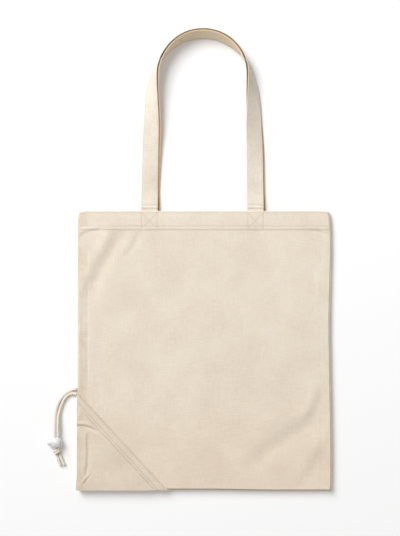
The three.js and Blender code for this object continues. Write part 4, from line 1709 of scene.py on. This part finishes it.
    def sewn_on(self, name: str, bm: BMesh, finish: Finish, node: Optional[str] = None) -> Object:
        """Makes one piece of the pouch: a back half's piece rides the back panel, and a front half's piece is
        baked in place, as the front panel is.

        Args:
            name: the piece's name, which says which half it is of.
            bm: its mesh, which is used up.
            finish: what it is made of.
            node: the solid that it stands for, or None for a thread.

        Returns:
            The piece.
        """
        piece = make_piece(name, bm, finish, 50 if node else ROUND)
        if "front" in name:
            rides_front(piece)
        else:
            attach(piece, Body.BACK.value)
        if node:
            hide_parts(node)
        return piece

    def build(self) -> None:
        """Makes the pouch's cloths, stitches and the drawcord inside them."""
        pouch = self.sewn_on("pouch_front_cloth", self.front_cloth(), POUCH_CLOTH, "pouch_front")
        casing = self.sewn_on(
            "pouch_casing_front_cloth", self.front_casing(), CASING_CLOTH, "pouch_casing_front"
        )
        run = self.pressed_run(FRONT_LINE, True)
        self.sewn_on("drawcord_inside_front", run, CORD_COTTON, "drawcord_run_front")
        self.sewn_on("pouch_stitching_front", self.front_stitching(), SHADED_POUCH_THREAD)
        corner, band = self.back_plate(self.casing, None), self.back_plate(0.0, self.casing)
        pouch = self.sewn_on("pouch_back_cloth", corner, POUCH_CLOTH, "pouch_back")
        casing = self.sewn_on("pouch_casing_back_cloth", band, POUCH_CLOTH, "pouch_casing_back")
        run = self.pressed_run(BACK_LINE, False)
        self.sewn_on("drawcord_inside_back", run, CORD_COTTON, "drawcord_run_back")
        self.sewn_on("pouch_stitching_back", self.back_stitching(), SHADED_BAG_THREAD)


@dataclass
class Handle:
    """One carrying handle: a folded strap, sewn behind a hem, that stands up on its edge round the arch."""

    name: str
    side: int
    bag: Body
    body: Body
    cloth: Strapping
    width: float = 25.0
    thickness: float = 1.8
    spacing: float = 160.0
    middle_x: float = -2.0
    leg: float = 206.0
    arch: float = 66.2
    sewn: float = 27.0
    shift: float = 2.7
    step: float = 1.7
    turns: Sequence[tuple[float, float]] = (
        (0, 0), (45, 1), (96, 10), (135, 22), (158, 34), (185, 50), (205, 67), (223, 80), (262, 100),
        (300, 108), (330, 110),
    )
    bows: Sequence[tuple[float, float]] = (
        (0, 0), (50, 0.5), (96, 1.4), (132, 2.3), (164, 1.5), (192, 0.5), (215, 0.2), (250, 0), (330, 0),
    )
    standing_gap: float = 1.7
    lying_gap: float = 0.4
    floor_gap: float = 0.2
    settle_length: float = 35.0
    hem_height: float = 4.5
    hem_apart: float = 3.0
    row_inset: float = 2.1

    @property
    def half_width(self) -> float:
        """Half the clear width between the legs."""
        return (self.spacing - self.width) / 2

    @property
    def arch_length(self) -> float:
        """The length of the inner edge round the arch."""
        return math.pi * (self.half_width + self.arch) / 2

    @property
    def length(self) -> float:
        """The inner edge's length outside the hem."""
        return 2 * self.leg + self.arch_length

    def from_end(self, along: float) -> float:
        """Returns how far a place lies from the nearer end's mouth."""
        return min(along, self.length - along)

    def station(self, along: float) -> tuple[Vector, Vector, Vector]:
        """Gives the strap's place at a length from the left leg's mouth.

        Args:
            along: the length, below 0 or past the end inside the hem.

        Returns:
            The inner edge's middle, the direction across the strap and the one out of its upper face.
        """
        from_end = self.from_end(along)
        hand = -1 if along < self.length / 2 else 1
        if from_end <= self.leg:
            inner = Vector((self.middle_x + hand * self.half_width, FORM.half_height + from_end, 0))
            outwards = Vector((hand, 0, 0))
        else:
            angle = math.pi * (along - self.leg) / self.arch_length
            inner = Vector((self.middle_x, FORM.half_height + self.leg, 0))
            left, up = -math.cos(angle), math.sin(angle)
            inner += Vector((self.half_width * left, self.arch * up, 0))
            outwards = Vector((self.arch * left, self.half_width * up, 0)).normalized()
        turn = math.radians(curve_at(self.turns, from_end))
        gap = self.lying_gap + (self.standing_gap - self.lying_gap) * smooth(math.sin(turn))
        apart = (self.thickness + gap) / 2
        lying = (apart + self.thickness / 2) * max(0.0, math.cos(turn)) + self.floor_gap
        down = 1 - smooth(from_end / self.settle_length)
        apart += (self.hem_apart - apart) * down
        inner.z = self.width * math.sin(turn) + lying + down * (self.hem_height - lying)
        if from_end < 12:
            inner.z += (-0.75 if self.side > 0 else 0.85) * smooth((12 - from_end) / 12)
        across = outwards * math.cos(turn) + Vector((0, 0, -math.sin(turn)))
        normal = outwards * math.sin(turn) + Vector((0, 0, math.cos(turn)))
        inner += normal * (self.side * apart)
        if self.side < 0:
            inner += across * (hand * self.shift * (1 - smooth((from_end - 115) / 75)))
        inward = curve_at(self.bows, from_end)
        if hand < 0:
            inward += 1.7 * bell(from_end - self.leg - 42, 34)
        sway = 0.35 * waver(along / 55, 3.0, 0.0) * smooth(from_end / 60)
        return inner + outwards * (sway - inward), across, normal

    def section(self) -> list[tuple[float, float]]:
        """Returns the strap's cross-section: soft folded edges, and a hollow under each stitch row."""
        places = [0.28, 0.9, 1.6, 2.1, 2.6, 3.4, 6, 9.5, 12.5, 15.5, 19, 21.6, 22.4, 22.9, 23.4, 24.1, 24.72]
        half = self.thickness / 2
        upper = []
        for a in places:
            edge = min(a, self.width - a)
            height = half * (0.62 + 0.38 * smooth(edge / 1.4)) - 0.17 * bell(edge - self.row_inset, 0.55)
            upper.append((a, height + 0.06 * smooth((edge - 3) / 5)))
        lower = [(a, -height) for a, height in reversed(upper)]
        outer = [(self.width, 0.45), (self.width - 0.3, 0.0), (self.width, -0.45)]
        return [(0.0, 0.42), *upper, *outer, *lower, (0.0, -0.42), (0.22, 0.0)]

    def creased(self, from_end: float, a: float) -> float:
        """Returns the strap's own small creases near the mouth and its slight unevenness."""
        change = -0.45 * bell(from_end - 3.2, 1.5) - 0.7 * bell(from_end - 8.9, 1.4)
        change += 0.35 * bell(from_end - 6.0, 1.4)
        change += 0.1 * waver(from_end / 13, a / 11, 5.0 * self.side)
        return change

    def strap(self) -> BMesh:
        """Returns the strap from one sewn end to the other, in millimetres."""
        rings = []
        section = self.section()
        near = spread(-3, 15, 0.7)
        for along in joined(
            spread(-self.sewn, -4, 4.0),
            near,
            spread(16, self.length - 16, self.step),
            [self.length - place for place in near],
            spread(self.length + 4, self.length + self.sewn, 4.0),
        ):
            inner, across, normal = self.station(along)
            from_end = self.from_end(along)
            ring = []
            for a, b in section:
                shift = self.creased(from_end, a) if from_end > -1 else 0.0
                ring.append(inner + across * a + normal * (b + shift))
            rings.append(ring)
        return tube_mesh(rings)

    def stitching(self) -> BMesh:
        """Returns the rows of stitches along both edges of both faces, in millimetres."""
        bm = bmesh.new()
        for a in (self.row_inset, self.width - self.row_inset):
            for face in (1, -1):
                line, normals = [], []
                for along in spread(3, self.length - 3, 3.1):
                    inner, across, normal = self.station(along)
                    height = (self.thickness / 2 - 0.1) * face + self.creased(self.from_end(along), a)
                    line.append(inner + across * a + normal * height)
                    normals.append(normal * face)

                def out(p: Vector) -> Vector:
                    """Returns the face's direction at the nearest place on the strap."""
                    nearest = min(range(len(line)), key=lambda k: (line[k] - p).length_squared)
                    return normals[nearest]

                add_stitches(bm, line, out, length=2.4, gap=0.6, width=0.42)
        return bm

    def build(self) -> None:
        """Makes the strap and its stitches, held at the bag's mouth."""
        strap = make_piece(f"{self.name}_strap", self.strap(), self.cloth)
        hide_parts(self.name, f"{self.name}_left_end", f"{self.name}_right_end")
        thread = make_piece(f"{self.name}_stitching", self.stitching(), STRAP_THREAD, ROUND)
        for piece in (strap, thread):
            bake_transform(piece)


@dataclass
class Drawcord:
    """The drawcord's free part: two legs through the cord lock, knotted together, with two short tails."""

    diameter: float = 3.9
    over_strands: float = 4.4
    twist_pitch: float = 13.0
    outer: Sequence[Point] = (
        (-192.2, -58.6, 2.5), (-197.5, -59.6, 2.3), (-206.5, -64.2, 2.3), (-213.6, -70.6, 2.3),
        (-219.6, -79.6, 2.3), (-223.3, -91.6, 3.0), (-224.5, -103, 5.9), (-224.5, -113, 8.0),
        (-224.5, -121, 8.3), (-224.5, -130, 8.3), (-224.5, -140, 8.3), (-224.4, -147, 7.6),
        (-224.0, -151.5, 5.2), (-223.6, -155, 3.0), (-222.0, -159.4, 2.4), (-219.8, -166.4, 2.4),
        (-216.4, -174.8, 2.4),
    )
    inner: Sequence[Point] = (
        (-192.2, -66.4, 4.4), (-196.5, -65.3, 3.4), (-203.0, -66.6, 2.4), (-208.8, -71.2, 2.4),
        (-214.0, -80.2, 2.4), (-218.2, -92.1, 3.1), (-220, -103, 5.9), (-220, -113, 8.0),
        (-220, -121, 8.3), (-220, -130, 8.3), (-220, -140, 8.3), (-219.8, -147, 7.6),
        (-219.4, -151.5, 5.2), (-219, -154.4, 3.0), (-217.3, -158.8, 2.4), (-214.8, -166, 2.4),
        (-210.8, -174.2, 2.4),
    )
    loosened: float = 0.11
    lock_reach: float = -115.0
    tail_swell: float = 0.1
    tail_start: float = -156.0
    frayed: float = 0.12
    knot_middle: Point = (-222.0, -152.6, 5.0)
    knot_cord: float = 3.1
    knot_radius: float = 3.75
    knot_length: float = 6.8
    knot_lean: float = 40.0
    knot_turns: tuple[float, float] = (-120.0, 660.0)

    def rope(self, line: Sequence[Vector], diameter: float, frayed: bool) -> BMesh:
        """Gives a line the form of cord twisted from three strands.

        Args:
            line: points along it, in millimetres.
            diameter: the cord's diameter.
            frayed: whether its far end opens a little.

        Returns:
            The cord, in millimetres.
        """
        rings = []
        forward = (line[1] - line[0]).normalized()
        up = forward.orthogonal().normalized()
        walked = 0.0
        for k, spot in enumerate(line):
            if k:
                walked += (spot - line[k - 1]).length
                after = (line[min(k + 1, len(line) - 1)] - line[k - 1]).normalized()
                up = (after.cross(up).cross(after)).normalized()
                forward = after
            side = forward.cross(up)
            left = line_length(line[k:]) if k > len(line) - 12 else 9.0
            swell = 1.0
            if frayed:
                swell += self.loosened * smooth((spot.y - self.lock_reach) / 9)
                swell += self.tail_swell * smooth((self.tail_start - spot.y) / 6)
                swell += self.frayed * smooth((3 - left) / 3)
            swell *= 0.55 + 0.45 * quarter_round(min(left, walked + 0.6) / 1.2)
            ring = []
            for m in range(21):
                angle = 2 * math.pi * m / 21
                turn = angle * 3 - 2 * math.pi * walked / self.twist_pitch * 3
                lobe = 0.97 + 0.13 * abs(math.cos(turn / 2)) ** 0.7
                radius = diameter / 2 * lobe * swell
                ring.append(spot + side * (math.cos(angle) * radius) + up * (math.sin(angle) * radius))
            rings.append(ring)
        return tube_mesh(rings)

    def knot_line(self) -> list[Vector]:
        """Returns the line of the wraps round both legs, leaning over as they tighten."""
        points = []
        middle = Vector(self.knot_middle)
        lean = Matrix.Rotation(math.radians(self.knot_lean), 3, "Z")
        first, last = self.knot_turns
        for k in range(46):
            share = k / 45
            angle = math.radians(first + (last - first) * share)
            inside = 1 - 0.55 * smooth((0.09 - share) / 0.09) - 0.55 * smooth((share - 0.91) / 0.09)
            radius = self.knot_radius * inside
            place = self.knot_length * (share - 0.5)
            spot = Vector((radius * math.cos(angle), place, 0.85 * radius * math.sin(angle)))
            points.append(middle + lean @ spot)
        return lie_on_curve([tuple(p) for p in points], 0.6)

    def build(self) -> dict[str, float]:
        """Makes both legs and the knot.

        Returns:
            Each leg's length in metres.
        """
        wraps = self.rope(self.knot_line(), self.knot_cord, False)
        knot = make_piece("drawcord_knot_wraps", wraps, CORD_COTTON, 75)
        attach(knot, Body.BACK.value)
        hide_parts("drawcord_knot")
        lengths = {}
        for name, points, nodes in (
            ("outer", self.outer, ("drawcord_leg_outer", "drawcord_tail_left")),
            ("inner", self.inner, ("drawcord_leg_inner", "drawcord_tail_right")),
        ):
            line = lie_on_curve(points, 0.6)
            piece = make_piece(f"drawcord_{name}", self.rope(line, self.diameter, True), CORD_COTTON, 75)
            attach(piece, Body.BACK.value)
            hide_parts(*nodes)
            lengths[name] = line_length(line) * MM
            tuple(c * MM for c in points[0])
            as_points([tuple(p * MM) for p in line[::4]] + [tuple(line[-1] * MM)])
        return lengths


@dataclass
class CordLock:
    """The round cord lock: a moulded bead with a hole for both cords, and its push button."""

    middle: Point = (-222.25, -138.7, 8.3)
    length: float = 16.4
    squareness: float = 2.35
    hole_half: float = 4.5
    hole_height: float = 4.7
    bore: float = 10.9
    button: float = 10.2
    reach: float = 5.0
    dimple: float = 3.2
    rounding: float = 1.3
    parting: float = 5.1
    bore_end: float = 4.7
    neck: float = 3.6
    neck_end: float = 6.9
    tip: float = 3.3
    tip_end: float = 5.3
    travel: float = 1.2

    def turned(self, pairs: Sequence[tuple[float, float]], steps: int = 64) -> BMesh:
        """Spins a profile round the lock's own axis, along X.

        Args:
            pairs: places along the axis and radii, from one end to the other.
            steps: how many steps a full turn has.

        Returns:
            The closed solid about the origin, in millimetres.
        """
        bm = bmesh.new()
        verts = [bm.verts.new((x, max(radius, 0.0), 0)) for x, radius in pairs]
        edges = [bm.edges.new(pair) for pair in zip(verts, verts[1:])]
        whole = {"cent": (0, 0, 0), "axis": (1, 0, 0), "angle": 2 * math.pi, "use_merge": True}
        bmesh.ops.spin(bm, geom=verts + edges, steps=steps, **whole)
        bmesh.ops.remove_doubles(bm, verts=bm.verts, dist=1e-4)
        bmesh.ops.dissolve_degenerate(bm, edges=bm.edges, dist=1e-5)
        bmesh.ops.recalc_face_normals(bm, faces=bm.faces)
        return bm

    def carved(self, bm: BMesh, cutters: Sequence[BMesh]) -> BMesh:
        """Cuts holes in a solid.

        Args:
            bm: the solid, which is used up.
            cutters: the solids to take away, used up too.

        Returns:
            What is left.
        """
        blanks = [new_object(f"lock_blank_{k}", shape) for k, shape in enumerate((bm, *cutters))]
        for cutter in blanks[1:]:
            cut = blanks[0].modifiers.new("Cut", "BOOLEAN")
            cut.operation = "DIFFERENCE"
            cut.solver = "EXACT"
            cut.object = cutter
        done = bmesh.new()
        done.from_object(blanks[0], bpy.context.evaluated_depsgraph_get())
        for blank in blanks:
            drop_object(blank)
        bmesh.ops.remove_doubles(done, verts=done.verts, dist=1e-4)
        return done

    def slot(self, half: float, height: float) -> BMesh:
        """Returns the rounded hole for the cords, along Y, as a solid."""
        bm = bmesh.new()
        bmesh.ops.create_cube(bm, size=1, matrix=Matrix.Diagonal((2 * half, 40, height, 1)))
        edges = [e for e in bm.edges if abs((e.verts[0].co - e.verts[1].co).y) > 1]
        bmesh.ops.bevel(
            bm, geom=edges, offset=height * 0.32, segments=5, profile=0.5, affect="EDGES", material=-1
        )
        return bm

    def bead(self) -> BMesh:
        """Returns the moulded body with its hole, bore, parting line and lip, about the origin."""
        half = self.length / 2
        pairs = []
        for k in range(41):
            x = -math.cos(math.pi * k / 40)
            radius = max(0.0, 1 - abs(x) ** self.squareness) ** (1 / self.squareness)
            groove = 0.13 * bell(x * half - self.parting, 0.16)
            pairs.append((x * half, radius * half - groove))
        pairs[0], pairs[-1] = (-half, 0.0), (half, 0.0)
        body = self.turned(pairs)
        wide, end = self.bore / 2, self.bore_end
        bore = self.turned([(-30, 0), (-30, wide), (end, wide), (end, 0)], 48)
        narrow = self.turned([(0, 0), (0, self.neck), (self.neck_end, self.neck), (self.neck_end, 0)], 32)
        return self.carved(body, [bore, narrow, self.slot(self.hole_half, self.hole_height)])

    def push_button(self) -> BMesh:
        """Returns the button with its dimple and the cords' hole, about the origin."""
        radius, out = self.button / 2, -(self.length / 2 + self.reach)
        hollow = ((1.3, 0.0), (1.25, 0.2), (1.0, 0.38), (0.35, 0.5), (0.05, 0.56))
        pairs = [(out + depth, self.dimple * share) for depth, share in hollow]
        for k in range(1, 8):
            angle = math.pi / 2 * k / 7
            back, down = self.rounding * (1 - math.cos(angle)), self.rounding * (1 - math.sin(angle))
            pairs.append((out + back, radius - down))
        pairs += [(2.7, radius), (3.3, self.tip), (self.tip_end, self.tip), (self.tip_end, 0.0)]
        return self.carved(self.turned(pairs, 56), [self.slot(self.hole_half + 1.1, self.hole_height)])

    def build(self) -> None:
        """Makes the body and the button, and dresses the spring inside."""
        for name, bm, body, node in (
            ("cord_lock_bead", self.bead(), Body.LOCK, "cord_lock_body"),
            ("cord_lock_button", self.push_button(), Body.BUTTON, "cord_lock_plunger"),
        ):
            bmesh.ops.translate(bm, verts=bm.verts, vec=self.middle)
            piece = make_piece(name, bm, LOCK_WHITE, 35)
            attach(piece, body.value)
            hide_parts(node)
        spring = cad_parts["cord_lock_spring"]
        spring.data.materials.clear()
        spring.data.materials.append(SPRING_STEEL.material())
        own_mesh(spring)


@dataclass(frozen=True)
class LightPanel:
    """A round, soft light panel, in metres and watts."""

    name: str
    place: Point
    target: Point
    size: float
    power: float
    tint: Point = (1.0, 1.005, 1.02)

    def hang(self) -> None:
        """Hangs the panel in its place, facing its target."""
        lamp = bpy.data.lights.new(self.name, "AREA")
        lamp.shape = "DISK"
        lamp.size = self.size
        lamp.energy = self.power
        lamp.color = self.tint
        spot = bpy.data.objects.new(self.name, lamp)
        spot.location = self.place
        aim = Vector(self.target) - spot.location
        spot.rotation_euler = aim.to_track_quat("-Z", "Y").to_euler()
        bpy.context.scene.collection.objects.link(spot)


@dataclass
class Studio:
    """The plain pale floor, the soft light from the upper left and the camera above."""

    camera_x: float = -0.0057
    camera_y: float = 0.1244
    camera_height: float = 1.712
    view_angle: float = 26.7
    ambient: float = 0.4
    surround_tint: Colour = (1.0, 0.983, 0.96, 1)
    panels: Sequence[LightPanel] = (
        LightPanel("window_lamp", (-1.95, 2.85, 3.45), (3.5, 2.3, 0.0), 3.3, 298.0),
        LightPanel("low_reflector", (0.5, -2.7, 0.8), (0.0, 0.4, 0.0), 2.0, 7.5),
    )
    floor_white: float = 0.82
    floor_lift: float = 0.1

    def floor(self) -> None:
        """Lays the floor, white to the camera but with the bag's shadow on it."""
        bm = bmesh.new()
        bmesh.ops.create_grid(bm, x_segments=1, y_segments=1, size=6.0)
        bmesh.ops.translate(bm, verts=bm.verts, vec=(0, 0, -0.0004))
        floor = new_object("studio_floor", bm)
        material = bpy.data.materials.new("studio_white")
        material.use_nodes = True
        nodes = Nodes(material.node_tree)
        output = nodes.add("ShaderNodeOutputMaterial")
        shader = nodes.add("ShaderNodeBsdfPrincipled")
        path = nodes.add("ShaderNodeLightPath")
        seen = nodes.math("MAXIMUM", path.outputs["Is Camera Ray"], path.outputs["Is Glossy Ray"])
        seen = nodes.math("MAXIMUM", seen, path.outputs["Is Transmission Ray"])
        look = {
            "Base Color": (self.floor_white, self.floor_white, self.floor_white, 1),
            "Roughness": 0.95,
            "Specular IOR Level": 0.1,
            "Emission Color": (1, 1, 1, 1),
            "Emission Strength": nodes.math("MULTIPLY", seen, self.floor_lift),
        }
        nodes.feed(shader, look)
        nodes.link(shader.outputs[0], output.inputs["Surface"])
        floor.data.materials.append(material)
        floor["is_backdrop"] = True

    def light(self) -> None:
        """Sets an even pale surround, one large soft lamp and a weak reflector at the bag's foot."""
        world = bpy.data.worlds.new("studio_surround")
        world.use_nodes = True
        nodes = Nodes(world.node_tree)
        output = nodes.add("ShaderNodeOutputWorld")
        shade = nodes.add("ShaderNodeBackground")
        path = nodes.add("ShaderNodeLightPath")
        strength = nodes.add("ShaderNodeMix", data_type="FLOAT")
        nodes.link(path.outputs["Is Camera Ray"], strength.inputs[0])
        strength.inputs[2].default_value = self.ambient
        strength.inputs[3].default_value = 1.0
        tint = nodes.mix(path.outputs["Is Camera Ray"], self.surround_tint, (1, 1, 1, 1))
        nodes.link(tint, shade.inputs["Color"])
        nodes.link(strength.outputs[0], shade.inputs["Strength"])
        nodes.link(shade.outputs[0], output.inputs["Surface"])
        bpy.context.scene.world = world
        for panel in self.panels:
            panel.hang()

    def camera(self) -> None:
        """Hangs the camera straight above the bag."""
        data = bpy.data.cameras.new("photo_camera")
        data.sensor_fit = "VERTICAL"
        data.sensor_height = 24.0
        data.lens = 12.0 / math.tan(math.radians(self.view_angle / 2))
        data.clip_end = 20
        camera = bpy.data.objects.new("photo_camera", data)
        camera.location = (self.camera_x, self.camera_y, self.camera_height)
        bpy.context.scene.collection.objects.link(camera)
        bpy.context.scene.camera = camera

    def build(self) -> None:
        """Sets up the studio and the plain view transform."""
        self.camera()
        self.light()
        self.floor()
        bpy.context.scene.view_settings.view_transform = "Standard"


def main() -> None:
    """Builds the studio and every part of the bag, and logs the drawcord legs' lengths and each piece's face
    count.
    """
    logging.basicConfig(level=logging.INFO, format="%(name)s: %(message)s")
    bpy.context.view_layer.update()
    Studio().build()
    lengths = Drawcord().build()
    LOG.info("drawcord legs: outer %.4f m, inner %.4f m", lengths["outer"], lengths["inner"])
    CordLock().build()
    BackPanel().build()
    SeamAllowances().build()
    FrontPanel().build()
    CornerPouch().build()
    Handle("front_handle", 1, Body.FRONT, Body.FRONT_HANDLE, STRAP_CLOTH).build()
    Handle("back_handle", -1, Body.BACK, Body.BACK_HANDLE, BACK_STRAP_SHADED_CLOTH).build()
    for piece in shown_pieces():
        if piece.type == "MESH" and not piece.hide_render:
            LOG.info("%s: %d faces", piece.name, len(piece.data.polygons))


if __name__ == "__main__":
    main()
